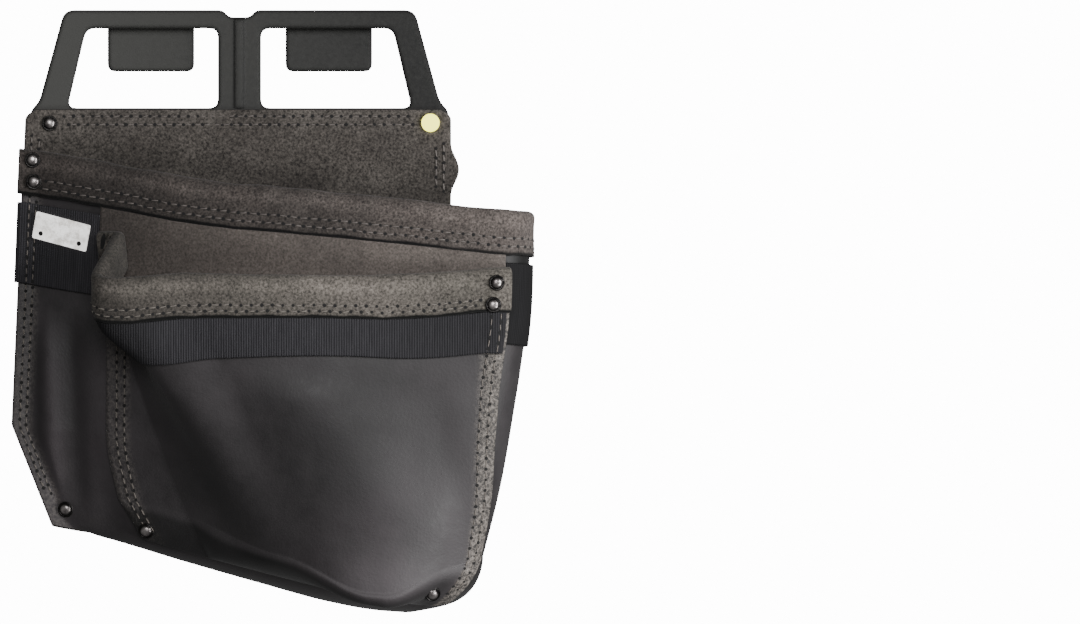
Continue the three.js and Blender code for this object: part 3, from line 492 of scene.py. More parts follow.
def lower_face():
    """The pocket's face runs further down at the right before it turns under."""
    u, v = np.meshgrid(pocket.us, pocket.vs)
    across = window(u, 0.25, 0.6, 0.66, 0.9)
    points = pocket.points.copy()
    points[..., 2] -= 9.5 * across * window(v, 0.45, 1.05, 1.3, 1.9)
    points[..., 1] -= 3.0 * across * window(v, 0.8, 1.15, 1.25, 1.8)
    pocket.set(points)


lower_face()


def pouch_folds():
    p = pouch.points
    u, v = np.meshgrid(pouch.us, pouch.vs)
    below_band = window(v, 0.4, 0.5, 1.0, 1.5)
    folds = ridges(p, (1.5, (-97, -148), (-92, -235), 5), (-1.3, (-84, -145), (-80, -238), 5))
    left_part = folds * window(u, 0.03, 0.05, 0.11, 0.135)
    right_part = 0.5 * waves(p, 3, 70) * window(u, 0.8, 0.84, 0.96, 1)
    return (left_part + right_part) * below_band


def pocket_folds():
    p = pocket.points
    u, v = np.meshgrid(pocket.us, pocket.vs)
    face = window(v, 0.28, 0.42, 1.0, 1.25) * window(u, 0.08, 0.2, 0.86, 0.93)
    folds = ridges(
        p,
        (2.4, (18, -165), (84, -246), 20, 26),
        (-1.0, (62, -150), (108, -208), 17, 20),
        (1.6, (86, -262), (104, -232), 20, 24),
        (-0.9, (-8, -185), (40, -262), 14, 22),
    )
    return (folds + 0.35 * waves(p, 5, 60)) * face


folded(pouch, pouch_folds())
folded(pocket, pocket_folds())


# Materials
def srgb(r, g, b):
    def one(c):
        c = c / 255
        return c / 12.92 if c <= 0.04045 else ((c + 0.055) / 1.055) ** 2.4

    return (one(r), one(g), one(b), 1.0)


class Material:
    """A node material made up of small steps."""

    def __init__(self, name, roughness, metallic=0.0, specular=0.5):
        self.made = bpy.data.materials.new(name)
        self.made.use_nodes = True
        self.tree = self.made.node_tree
        self.shader = self.tree.nodes["Principled BSDF"]
        self.shader.inputs["Roughness"].default_value = roughness
        self.shader.inputs["Metallic"].default_value = metallic
        self.shader.inputs["Specular IOR Level"].default_value = specular
        self.coordinates = self.node("ShaderNodeTexCoord").outputs["Object"]

    def node(self, kind, **inputs):
        made = self.tree.nodes.new(kind)
        for name, value in inputs.items():
            self.put(made.inputs[name.replace("_", " ")], value)
        return made

    def put(self, socket, value):
        if isinstance(value, bpy.types.NodeSocket):
            self.tree.links.new(value, socket)
        else:
            socket.default_value = value

    def stretched(self, x, y, z):
        made = self.node("ShaderNodeMapping", Vector=self.coordinates, Scale=(x, y, z))
        return made.outputs["Vector"]

    def noise(self, scale, detail=3.0, roughness=0.55, vector=None):
        made = self.node("ShaderNodeTexNoise", Scale=scale, Detail=detail, Roughness=roughness)
        self.put(made.inputs["Vector"], self.coordinates if vector is None else vector)
        return made.outputs["Fac"]

    def cells(self, scale):
        made = self.node("ShaderNodeTexVoronoi", Vector=self.coordinates, Scale=scale)
        return made.outputs["Distance"]

    def ramp(self, value, low, high, start=0.0, end=1.0):
        made = self.node("ShaderNodeMapRange", Value=value, From_Min=low, From_Max=high)
        self.put(made.inputs["To Min"], start)
        self.put(made.inputs["To Max"], end)
        return made.outputs["Result"]

    def attribute(self, name):
        made = self.node("ShaderNodeAttribute")
        made.attribute_name = name
        return made.outputs["Fac"]

    def operate(self, kind, operation, a, b, second=1, result=0):
        made = self.node(kind)
        made.operation = operation
        self.put(made.inputs[0], a)
        self.put(made.inputs[second], b)
        return made.outputs[result]

    def maths(self, operation, a, b=0.0):
        return self.operate("ShaderNodeMath", operation, a, b)

    def scaled(self, colour, factor):
        return self.operate("ShaderNodeVectorMath", "SCALE", colour, factor, "Scale")

    def mix(self, share, a, b):
        made = self.node("ShaderNodeMix")
        made.data_type = "RGBA"
        self.put(made.inputs[0], share)
        self.put(made.inputs[6], a)
        self.put(made.inputs[7], b)
        return made.outputs[2]

    def toned_with_painted_light(self, colour):
        """The colour made lighter or darker by the mesh's tone: painted light and shade, with some
        uneven colour.
        """
        return self.scaled(colour, self.maths("ADD", self.attribute("tone"), 1.0))

    def bump(self, height, strength, distance, normal=None):
        made = self.node("ShaderNodeBump", Height=height, Strength=strength, Distance=distance)
        if normal is not None:
            self.put(made.inputs["Normal"], normal)
        return made.outputs["Normal"]

    def finish(self, colour, normal=None, roughness=None, sheen=0.0):
        self.put(self.shader.inputs["Base Color"], self.toned_with_painted_light(colour))
        if normal is not None:
            self.put(self.shader.inputs["Normal"], normal)
        if roughness is not None:
            self.put(self.shader.inputs["Roughness"], roughness)
        self.shader.inputs["Sheen Weight"].default_value = sheen
        self.shader.inputs["Sheen Roughness"].default_value = 0.5
        return self.made


def leather_material(name, dark, light, tint):
    m = Material(name, 0.58, specular=0.36)
    cloud = m.ramp(m.noise(16, 4), 0.35, 0.68)
    mottle = m.ramp(m.noise(95, 5, 0.65), 0.3, 0.72)
    colour = m.mix(cloud, dark, light)
    colour = m.mix(m.maths("MULTIPLY", mottle, 0.3), colour, tint)
    grain = m.cells(620)
    pores = m.noise(1500, 2)
    rub = m.attribute("rub")
    fleck = m.ramp(m.noise(620, 4, 0.75), 0.4, 0.62)
    rubbed = m.mix(fleck, srgb(27, 25, 24), srgb(112, 106, 100))
    colour = m.mix(rub, colour, rubbed)
    scuffs = m.ramp(m.noise(40, 6, 0.75, m.stretched(1, 1, 0.35)), 0.6, 0.8)
    colour = m.mix(m.maths("MULTIPLY", scuffs, 0.12), colour, srgb(84, 80, 78))
    normal = m.bump(grain, 0.25, 0.0002)
    normal = m.bump(pores, 0.25, 0.0002, normal)
    normal = m.bump(m.maths("MULTIPLY", fleck, rub), 0.5, 0.0005, normal)
    normal = m.bump(m.noise(60, 2), 0.25, 0.0008, normal)
    rough = m.ramp(mottle, 0, 1, 0.5, 0.66)
    return m.finish(colour, normal, rough, 0.05)


def suede_material(name, dark, light, speck=0.5):
    m = Material(name, 0.95, specular=0.25)
    cloud = m.ramp(m.noise(22, 4), 0.32, 0.68)
    patch = m.ramp(m.noise(140, 5, 0.7), 0.3, 0.7)
    fibre = m.ramp(m.noise(850, 4, 0.7), 0.3, 0.7)
    colour = m.mix(cloud, dark, light)
    colour = m.mix(m.maths("MULTIPLY", patch, 0.35), colour, m.mix(0.5, light, srgb(96, 91, 87)))
    colour = m.scaled(colour, m.ramp(fibre, 0, 1, 1 - speck, 1 + speck))
    normal = m.bump(m.noise(620, 5, 0.8), 0.8, 0.0007)
    normal = m.bump(m.noise(90, 3), 0.5, 0.0012, normal)
    return m.finish(colour, normal, None, 0.05)


RIB_PITCH = 1.25
PICK_PITCH = 0.9


def webbing_material(name, dark, light):
    """Ribbed tape: its first texture coordinate runs along the tape, in decimetres."""
    m = Material(name, 0.8, specular=0.2)
    place = m.node("ShaderNodeUVMap").outputs["UV"]
    split = m.node("ShaderNodeSeparateXYZ", Vector=place)
    run, width = split.outputs[0], split.outputs[1]
    rib = m.maths("SINE", m.maths("MULTIPLY", run, 2 * math.pi * 100 / RIB_PITCH))
    pick = m.maths("SINE", m.maths("MULTIPLY", width, 2 * math.pi * 100 / PICK_PITCH))
    lines = m.node("ShaderNodeMapping", Vector=place, Scale=(1.0, 0.06, 1.0)).outputs["Vector"]
    streak = m.ramp(m.noise(95, 3, 0.6, lines), 0.32, 0.7)
    height = m.maths("ADD", rib, m.maths("MULTIPLY", pick, 0.35))
    colour = m.mix(streak, dark, light)
    # Painted shade in the grooves between the ribs
    colour = m.mix(m.ramp(rib, -1, 0.2, 0.4, 0.0), colour, srgb(5, 5, 6))
    normal = m.bump(height, 0.4, 0.0003)
    normal = m.bump(m.noise(900, 3), 0.3, 0.0003, normal)
    return m.finish(colour, normal)


def plastic_material():
    """Moulded plastic with painted light: paler to the left, and painted shade where its edges turn
    away.
    """
    m = Material("moulded_plastic", 0.62, specular=0.2)
    cloud = m.ramp(m.noise(14, 3), 0.3, 0.7)
    colour = m.mix(cloud, srgb(9, 9, 9), srgb(15, 15, 14))
    split = m.node("ShaderNodeSeparateXYZ", Vector=m.coordinates)
    painted_light_from_left = m.ramp(split.outputs[0], 0.09, -0.09)
    colour = m.mix(m.maths("MULTIPLY", painted_light_from_left, 0.95), colour, srgb(52, 52, 50))
    fine = m.ramp(m.noise(420, 5, 0.75), 0.35, 0.65)
    colour = m.mix(m.maths("MULTIPLY", fine, 0.2), colour, srgb(60, 60, 58))
    rounded = m.node("ShaderNodeBevel", Radius=0.003).outputs["Normal"]
    true = m.node("ShaderNodeNewGeometry").outputs["Normal"]
    facing = m.operate("ShaderNodeVectorMath", "DOT_PRODUCT", rounded, true, result="Value")
    edge = m.ramp(facing, 0.999, 0.88)
    colour = m.mix(m.maths("MULTIPLY", edge, 0.85), colour, srgb(6, 6, 6))
    scratch = m.ramp(m.noise(60, 5, 0.7, m.stretched(1, 1, 6)), 0.6, 0.75)
    rough = m.ramp(scratch, 0, 1, 0.56, 0.68)
    normal = m.bump(m.noise(1300, 3), 0.35, 0.0002, rounded)
    return m.finish(colour, normal, rough)


def steel_material():
    m = Material("gunmetal", 0.3, metallic=0.85)
    cloud = m.ramp(m.noise(300, 4), 0.35, 0.7)
    colour = m.mix(cloud, srgb(70, 66, 66), srgb(128, 124, 122))
    rough = m.ramp(m.noise(900, 3), 0.3, 0.7, 0.22, 0.4)
    return m.finish(colour, m.bump(m.noise(1200, 3), 0.2, 0.0002), rough)


def silver_material():
    m = Material("satin_plate", 0.35, metallic=0.1)
    cloud = m.ramp(m.noise(70, 4), 0.35, 0.7)
    colour = m.mix(cloud, srgb(232, 230, 227), srgb(250, 249, 247))
    smudge = m.ramp(m.noise(130, 8, 0.8), 0.46, 0.6)
    colour = m.mix(m.maths("MULTIPLY", smudge, 0.75), colour, srgb(165, 160, 152))
    brushed = m.noise(700, 3, 0.6, m.stretched(1, 1, 14))
    return m.finish(colour, m.bump(brushed, 0.25, 0.0003), m.ramp(cloud, 0, 1, 0.34, 0.5))


def plain_material(name, colour, other, scale, roughness, bump=0.3):
    m = Material(name, roughness)
    share = m.ramp(m.noise(scale, 3), 0.3, 0.7)
    return m.finish(m.mix(share, colour, other), m.bump(m.noise(scale * 2, 3), bump, 0.0002))


leather = leather_material("smooth_leather", srgb(31, 29, 30), srgb(43, 39, 41), srgb(54, 50, 52))
panel_suede = suede_material("panel_suede", srgb(53, 49, 46), srgb(70, 66, 62), 0.95)
collar_suede = suede_material("collar_suede", srgb(46, 42, 40), srgb(64, 58, 55), 0.85)
pale_suede = suede_material("pale_suede", srgb(66, 63, 58), srgb(84, 79, 74), 0.85)
backing_suede = suede_material("backing_suede", srgb(60, 55, 52), srgb(76, 70, 66), 0.5)
webbing = webbing_material("ribbed_webbing", srgb(31, 30, 33), srgb(44, 43, 46))
plastic = plastic_material()
steel = steel_material()
silver = silver_material()
marker = plain_material("marker_paint", srgb(252, 250, 100), srgb(246, 243, 90), 260, 0.6)
raw_edge = plain_material("raw_edge", srgb(18, 16, 15), srgb(36, 33, 31), 500, 0.9, 0.8)
thread_dark = plain_material("thread_dark", srgb(74, 69, 66), srgb(98, 92, 88), 900, 0.8)
thread_seam = plain_material("thread_seam", srgb(78, 72, 68), srgb(100, 94, 88), 900, 0.8)
thread_pale = plain_material("thread_pale", srgb(86, 81, 76), srgb(106, 100, 94), 900, 0.8)
# Needle holes are painted shade: near-black discs on the surface
hole_dark = plain_material("needle_hole", srgb(6, 6, 6), srgb(10, 9, 9), 900, 0.95)


# Painted light: the plate glows in its own colour and the disc in one yellow, though neither is a
# lamp
PLATE_PAINTED_GLOW = 1.1
DISC_PAINTED_GLOW = 1.9
plate_inputs = silver.node_tree.nodes["Principled BSDF"].inputs
plate_colour = plate_inputs["Base Color"].links[0].from_socket
silver.node_tree.links.new(plate_colour, plate_inputs["Emission Color"])
plate_inputs["Emission Strength"].default_value = PLATE_PAINTED_GLOW
disc_inputs = marker.node_tree.nodes["Principled BSDF"].inputs
disc_inputs["Emission Color"].default_value = srgb(252, 248, 96)
disc_inputs["Emission Strength"].default_value = DISC_PAINTED_GLOW


# Pieces
def piece(name, vertices, faces, materials, nodes=(), uvs=None, which=None, painted_light_and_wear=None):
    """A mesh piece from vertices in millimetres, riding on the part's one body."""
    mesh = bpy.data.meshes.new(name)
    faces = np.asarray(faces, np.int32)
    corners = faces.shape[1]
    mesh.vertices.add(len(vertices))
    mesh.vertices.foreach_set("co", (np.asarray(vertices, np.float32) * MM).ravel())
    mesh.loops.add(faces.size)
    mesh.loops.foreach_set("vertex_index", faces.ravel())
    mesh.polygons.add(len(faces))
    mesh.polygons.foreach_set("loop_start", np.arange(0, faces.size, corners, dtype=np.int32))
    mesh.polygons.foreach_set("use_smooth", np.ones(len(faces), bool))
    for made in materials:
        mesh.materials.append(made)
    if which is not None:
        mesh.polygons.foreach_set("material_index", np.asarray(which, np.int32))
    if uvs is not None:
        layer = mesh.uv_layers.new(name="tape")
        layer.data.foreach_set("uv", np.asarray(uvs, np.float32)[faces.ravel()].ravel())
    # Point attributes: tone is painted light and shade, rub is real rubbed wear
    for kind, values in (painted_light_and_wear or {}).items():
        layer = mesh.attributes.new(kind, "FLOAT", "POINT")
        layer.data.foreach_set("value", np.asarray(values, np.float32).ravel())
    mesh.update()
    mesh.validate()
    made = bpy.data.objects.new(name, mesh)
    bpy.context.scene.collection.objects.link(made)
    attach(made, "root")
    if nodes:
        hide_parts(*nodes)
    return made


# What each sheet stands for, what it is sewn to, its slot, its face's material and its thickness
SHEETS = {
    "pouch_shell": ("main_pouch", "back_panel", "leather", leather, LEATHER),
    "pocket_shell": ("front_pocket", "main_pouch", "leather", leather, LEATHER),
    "main_collar_suede": ("main_collar", "main_pouch", "collar_suede", collar_suede, SUEDE),
    "front_collar_suede": ("front_collar", "front_pocket", "pale_suede", pale_suede, SUEDE),
    "band_left": ("main_webbing", "main_pouch", "webbing", webbing, WEBBING),
    "band_right": ("main_webbing_right", "main_pouch", "webbing", webbing, WEBBING),
    "pocket_backing": ("pocket_back", "main_pouch", "collar_suede", backing_suede, WEBBING),
    "band_front": ("front_webbing", "front_pocket", "webbing", webbing, WEBBING),
    "panel_suede_sheet": ("back_panel", "hanger", "back_suede", panel_suede, LEATHER),
}

# Width, length and area in metres that each sheet was cut to before it was sewn
CUT_SIZES = {
    "pouch_shell": (0.332, 0.244, 0.065),
    "pocket_shell": (0.259, 0.19, 0.035),
    "main_collar_suede": (0.322, 0.045, 0.0138),
    "front_collar_suede": (0.265, 0.048, 0.011),
    "band_left": (0.066, 0.04, 0.0026),
    "band_right": (0.067, 0.04, 0.00265),
    "pocket_backing": (0.21, 0.044, 0.0092),
    "band_front": (0.245, 0.029, 0.0047),
    "panel_suede_sheet": (0.222, 0.254, 0.049),
}
RIM_SWELL = 0.16
RIM_LEVELS = (0.2, 0.5, 0.8)


def from_left(points):
    """Distance in millimetres along each row from the left edge."""
    steps = np.linalg.norm(np.diff(points, axis=1), axis=-1)
    return np.cumsum(np.concatenate([np.zeros((len(points), 1)), steps], 1), 1)


def grid_normals(points):
    across = np.gradient(points, axis=1)
    down = np.gradient(points, axis=0)
    return unit(np.cross(down, across))


def sheet_piece(name, outer, normals=None, held="stretched", crest=None, **painted_light_and_wear):
    """A closed sheet: its outer face, the inner one a thickness behind, and a rounded rim.

    From a crest column on, the texture's first coordinate is the front view's x."""
    node, carrier, slot, face, thickness = SHEETS[name]
    nodes, sewn_to = [node], [carrier]
    materials = [face, face if face is webbing else raw_edge]
    if normals is None:
        normals = grid_normals(outer)
    rows, columns = outer.shape[:2]
    inner = outer - normals * thickness
    layer = rows * columns
    index = np.arange(layer).reshape(rows, columns)
    a, b = index[:-1, :-1], index[:-1, 1:]
    c, d = index[1:, 1:], index[1:, :-1]
    front = np.stack([a, d, c, b], -1).reshape(-1, 4)
    back = np.stack([a, b, c, d], -1).reshape(-1, 4) + layer
    ring = np.concatenate([index[0, :-1], index[:-1, -1], index[-1, :0:-1], index[:0:-1, 0]])
    border = outer.reshape(-1, 3)[ring]
    deep = inner.reshape(-1, 3)[ring]
    out_way = unit(border - np.roll(border, 1, 0)) + unit(np.roll(border, -1, 0) - border)
    out_way = unit(np.cross(unit(out_way), normals.reshape(-1, 3)[ring]))
    centre = outer.reshape(-1, 3).mean(0)
    if np.mean(np.sum(out_way * (border - centre), -1)) < 0:
        out_way = -out_way
    bulge = []
    for t in RIM_LEVELS:
        swell = RIM_SWELL * thickness * math.sin(math.pi * t) ** 0.7
        bulge.append(lerp(border, deep, t) + out_way * swell)
    vertices = np.concatenate([outer.reshape(-1, 3), inner.reshape(-1, 3), *bulge])
    count = len(ring)
    between = [2 * layer + k * count + np.arange(count) for k in range(len(RIM_LEVELS))]
    levels = [ring, *between, ring + layer]
    rims = []
    for upper, lower in zip(levels, levels[1:]):
        rims.append(np.stack([upper, np.roll(upper, -1), np.roll(lower, -1), lower], -1))
    rim = np.concatenate(rims)
    faces = np.concatenate([front, back, rim])
    which = np.zeros(len(faces), int)
    which[len(front) + len(back):] = len(materials) - 1
    run = np.linalg.norm(np.diff(outer, axis=1), axis=-1).mean(0)
    fall = np.linalg.norm(np.diff(outer, axis=0), axis=-1).mean(1)
    flat = np.stack(np.meshgrid(running_total(run) / 100, running_total(fall) / 100), -1)
    if crest is not None:
        length = from_left(outer)
        before = outer[:, crest, 0:1] - (length[:, crest : crest + 1] - length)
        flat[..., 0] = np.where(np.arange(columns) >= crest, outer[..., 0], before) / 100
    flat = flat.reshape(-1, 2)
    uvs = np.concatenate([flat, flat, *[flat[ring]] * len(RIM_LEVELS)])
    for kind, values in painted_light_and_wear.items():
        flat = values.reshape(-1)
        painted_light_and_wear[kind] = np.concatenate([flat, flat, *[flat[ring]] * len(RIM_LEVELS)])
    made = piece(name, vertices, faces, materials, nodes, uvs, which, painted_light_and_wear)
    width, length, area = CUT_SIZES[name]
    return made


def spots(points, *rows):
    """Soft spots in the front view given as (height, x, z, reach in x, reach in z), added up."""
    total = 0.0
    for height, x, z, reach_x, reach_z in rows:
        away = ((points[..., 0] - x) / reach_x) ** 2 + ((points[..., 2] - z) / reach_z) ** 2
        total = total + height * np.exp(-away)
    return total


# Painted light and shade on the main pouch: highlights and shades along the folds at the left, a
# highlight strip at the right, the side darkened, the lower right darker
def pouch_painted_light(p):
    tone = ridges(
        p,
        (0.6, (-95, -150), (-92, -240), 4.5),
        (-0.35, (-83, -150), (-81, -240), 6),
        (-0.4, (-101, -160), (-100, -215), 3),
        (0.35, (-68, -160), (-68, -235), 6),
        (0.3, (137, -150), (130, -240), 3),
    )
    tone = tone + spots(p, (0.4, -88, -142, 18, 14), (-0.6, 137, -118, 14, 9))
    tone = tone - 0.45 * smoothstep(0.68, 0.72, pouch.us)
    return tone - 0.3 * smoothstep(-235, -265, p[..., 2]) * smoothstep(100, 120, p[..., 0])


# Painted light and shade on the front pocket: its middle and the band along the side wall darkened,
# highlights at the lower right, the underside darkened
def pocket_painted_light(p):
    tone = spots(
        p,
        (-0.6, 54, -200, 46, 50),
        (-0.4, 30, -290, 40, 8),
        (0.7, 92, -254, 26, 28),
        (0.4, 66, -276, 30, 12),
    )
    tone = tone + ridges(p, (-0.34, (-40, -185), (20, -268), 13))
    underside = smoothstep(1.1, 1.3, pocket.vs)[:, None]
    return tone - 0.7 * underside * (1 - smoothstep(0.88, 0.95, pocket.us))


# Where the leather's edges are rubbed rough
pouch_rub = 0.22 * (1 - smoothstep(9, 12, from_left(pouch.points)))
pocket_rub = 0.28 * (1 - smoothstep(11, 14, from_left(pocket.points)))
pocket_rub = pocket_rub + 0.95 * smoothstep(0.93, 0.962, pocket.us)
# Tone is painted light and shade; rub is the rubbed edges
pouch_painted_light_and_wear = {"tone": pouch_painted_light(pouch.points), "rub": pouch_rub}
pocket_painted_light_and_wear = {"tone": pocket_painted_light(pocket.points), "rub": pocket_rub}
sheet_piece("pouch_shell", pouch.points, pouch.normals, **pouch_painted_light_and_wear)
sheet_piece("pocket_shell", pocket.points, pocket.normals, **pocket_painted_light_and_wear)

# Place of each row of a collar, from its outside hem over the fold to its inside hem
FOLD_START, FOLD_END = 0.4, 0.6
ROUNDS = np.concatenate(
    [
        np.linspace(0, FOLD_START, 34),
        np.linspace(FOLD_START, FOLD_END, 14)[1:],
        np.linspace(FOLD_END, 1, 12)[1:],
    ]
)
HEM = COLLAR_HEIGHT - (LEATHER / 2 + GAP + SUEDE)


def collar_grid(skin, us, wobble):
    """A collar folded over the mouth of a leather wall."""
    outside = GAP + SUEDE
    inside = -(LEATHER + GAP + SUEDE)
    centre = (outside + inside) / 2
    radius = (outside - inside) / 2
    mouth = skin.at(us, 0.0)
    up = unit(mouth - skin.at(us, 0.01))
    side = skin.normal(us, 0.0)
    rows = []
    for r in ROUNDS:
        if r < FOLD_START:
            drop = lerp(COLLAR_HEIGHT - radius + wobble, 0, r / FOLD_START)
            rows.append(skin.at(us, skin.fall_of(us, drop), outside))
        elif r > FOLD_END:
            drop = lerp(0, COLLAR_INSIDE, (r - FOLD_END) / (1 - FOLD_END))
            rows.append(skin.at(us, skin.fall_of(us, drop * np.ones_like(us)), inside))
        else:
            turn = (r - FOLD_START) / (FOLD_END - FOLD_START) * math.pi
            away = side * (centre + radius * math.cos(turn))
            rows.append(mouth + away + up * radius * math.sin(turn))
    return np.stack(rows[::-1])


def collar_piece(name, skin, us, seed, rumple, shade):
    wobble = 0.2 * np.sin(us * 61 + seed) + 0.12 * np.sin(us * 137 + 2 * seed)
    grid = collar_grid(skin, us, wobble)
    normals = grid_normals(grid)
    falls = np.linspace(0, 1, len(ROUNDS))[:, None]
    uneven = rumple * waves(grid, seed, 28) * np.sin(math.pi * falls) ** 0.5
    grid = grid + normals * uneven[..., None]
    # Painted light: a highlight along the fold's top and a painted shadow line at the outside hem;
    # the waves are uneven colour and shade adds each collar's painted light
    fold_highlight = np.exp(-(((falls - 0.5) / 0.09) ** 2))
    tone = 0.42 * fold_highlight + 0.12 * waves(grid, seed + 1, 22) - 0.12 * smoothstep(0.8, 1, falls)
    above_hem = np.linalg.norm(grid - grid[-1:], axis=-1)
    tone = tone + shade(grid) - 1.1 * (1 - smoothstep(0.4, 1.7, above_hem))
    sheet_piece(name, grid, normals, held="folded", tone=tone)
    return Skin(us, falls[:, 0], grid)


def hem_row(collar, above, start, end, count=500):
    """A line along a collar's outside at a height above its hem."""
    us = np.linspace(start, end, count)
    fall = np.interp(FOLD_START * above / HEM, ROUNDS, 1 - np.linspace(0, 1, len(ROUNDS)))
    falls = np.full(count, fall)
    return collar.at(us, falls), collar.normal(us, falls)


past_edge = -COLLAR_PAST_EDGE / (POUCH_REACH - POUCH_CORNER + PANEL_TOP_LEFT) * FRONT_SHARE
main_collar_us = fine_steps((past_edge, 4), (0, 60), (0.2, 110), (0.7, 60), (0.84, 30), (RIM_END, 0))


# Painted light: the main collar darkened towards the left and lightened at its right end
main_collar = collar_piece(
    "main_collar_suede",
    pouch,
    main_collar_us,
    7,
    0.6,
    lambda p: 0.36 * (smoothstep(-95, 60, p[..., 0]) - 1) + 0.3 * smoothstep(60, 120, p[..., 0]),
)
MIDDLE_STEPS = ((0.12, 40), (0.2, 40), (0.4, 60), (0.7, 50))
# Painted shade: the front collar darkened towards the left
front_collar = collar_piece(
    "front_collar_suede",
    pocket,
    fine_steps((0.003, 50), *MIDDLE_STEPS, (0.95, 14), (1, 0)),
    11,
    0.35,
    lambda p: 0.5 * (smoothstep(-70, 35, p[..., 0]) - 1),
)

# Shares of the left band's run past the edge: round the corner, over the rim, round the next corner
WRAP_CORNER, WRAP_RIM, WRAP_TURNED = 0.25, 0.4, 0.65


def on_pouch(u, down, top):
    drop = HEM + lerp(top, MAIN_BAND_GAP + BAND_WIDTH, down)
    u = np.maximum(u, 0) * np.ones_like(down)
    return pouch.at(u, pouch.fall_of(u, drop), GAP + WEBBING)


def band_grid(us, downs):
    """The main band's skin; negative places wrap round the panel's left edge to its back."""
    grid = on_pouch(us[None, :], downs[:, None], MAIN_BAND_GAP)
    radius = GAP + WEBBING + 0.2
    rear = PANEL_FRONT + LEATHER + GAP + WEBBING
    away = np.maximum(-us, 0)
    corner = np.clip(away / WRAP_CORNER, 0, 1) * math.pi / 2
    rim = np.clip((away - WRAP_CORNER) / (WRAP_RIM - WRAP_CORNER), 0, 1)
    next_corner = np.clip((away - WRAP_RIM) / (WRAP_TURNED - WRAP_RIM), 0, 1) * math.pi / 2
    behind = np.clip((away - WRAP_TURNED) / (1 - WRAP_TURNED), 0, 1)
    grid[..., 0] += radius * (1 - np.cos(next_corner) - np.sin(corner)) + behind * BAND_WRAP_RUN
    side = grid[..., 1] + radius * (1 - np.cos(corner))
    grid[..., 1] = lerp(side, rear - radius, rim) + radius * np.sin(next_corner)
    return grid


band_downs = np.linspace(0, 1, 48)
wrap_us = np.concatenate([np.linspace(-1, -WRAP_TURNED, 8), np.linspace(-WRAP_TURNED, -0.04, 26)[1:]])
left_us = np.concatenate([wrap_us, np.linspace(0, BACKING_START - BACKING_SEAM, 60)])
grid = band_grid(left_us, band_downs)
# Painted light: the left band lightened, and the right band, which faces the key light, darkened
sheet_piece("band_left", grid, tone=np.full(grid.shape[:2], 0.15))
grid = band_grid(np.linspace(BACKING_END + BACKING_SEAM, RIM_END, 80), band_downs)
sheet_piece("band_right", grid, tone=np.full(grid.shape[:2], -0.75))
backing_us = np.linspace(BACKING_START, BACKING_END, 170)
grid = on_pouch(backing_us[None, :], band_downs[:, None], GAP)
# Painted light: the backing darker to the left and lighter to the right
sheet_piece("pocket_backing", grid, tone=lerp(-0.2, 0.3, smoothstep(-65, 30, grid[..., 0])))
front_band_us = fine_steps((COLLAR_START, 40), *MIDDLE_STEPS, (0.99, 0))
drop = np.linspace(HEM + GAP, HEM + FRONT_BAND_SHOWING, 30)[:, None] * np.ones(len(front_band_us))
wide = front_band_us[None, :] * np.ones_like(drop)
grid = pocket.at(wide, pocket.fall_of(wide, drop), GAP + WEBBING)
crest = int(np.searchsorted(front_band_us, POCKET_STATIONS[2]))
# Painted shade: the front band darkened at its left end and towards its right
tone = 0.15 - 0.4 * smoothstep(40, 120, grid[..., 0]) - 0.75 * smoothstep(-30, -68, grid[..., 0])
sheet_piece("band_front", grid, crest=crest, tone=tone)

# Back panel: rows from its top edge down to the bottom seam
PANEL_COLUMNS, PANEL_ROWS = 150, 170
PANEL_TAPER_HEIGHT = 190
PANEL_FOOT_PAST_SEAM = 0.8
seam_line = pouch_skin(np.linspace(0, 1, 80), np.full(80, 2.0))
order = np.argsort(seam_line[:, 0])
shares = np.linspace(0, 1, PANEL_COLUMNS)
foot_x = lerp(-PANEL_FOOT_LEFT, PANEL_FOOT_RIGHT, shares)
foot_z = np.interp(foot_x, seam_line[order, 0], seam_line[order, 2]) - PANEL_FOOT_PAST_SEAM


def right_edge_of_panel(z):
    ear = np.clip((-PANEL_EAR_DROP + PANEL_EAR_HEIGHT / 2 - z) / PANEL_EAR_HEIGHT, 0, 1)
    taper = np.clip((-PANEL_EAR_DROP - PANEL_EAR_HEIGHT / 2 - z) / PANEL_TAPER_HEIGHT, 0, 1)
    return lerp(PANEL_TOP_RIGHT, PANEL_FOOT_RIGHT + 1, taper) + PANEL_EAR * np.sin(ear * math.pi) ** 2


z = lerp(-PANEL_TOP_DROP, foot_z[None, :], np.linspace(0, 1, PANEL_ROWS)[:, None])
below_top = -PANEL_TOP_DROP - z
corner_cut = np.clip(1 - below_top / PANEL_TOP_CORNER, 0, 1) ** 2 * PANEL_TOP_CORNER
x = lerp(left_edge(z) + corner_cut, right_edge_of_panel(z) - corner_cut, shares[None, :])
panel = np.stack([x, np.full_like(x, PANEL_FRONT), z], -1)
calm_edges = smoothstep(0, 3, below_top) * window(shares, 0, 0.04, 0.96, 1)
calm_low = 0.3 + 0.7 * (1 - smoothstep(20, 40, below_top))
panel[..., 1] += 0.22 * waves(panel, 21, 30) * calm_edges * calm_low
# Painted shade on the panel: a patch at the lower right by the pouch and a dark line above the main
# collar; the waves are uneven colour
panel_tone = spots(panel, (-0.3, 100, -82, 14, 16)) + 0.1 * waves(panel, 31, 40)
panel_tone = panel_tone + ridges(panel, (-0.35, (-104, -60), (100, -88), 9, 20))
sheet_piece("panel_suede_sheet", panel, held="hung", tone=panel_tone)


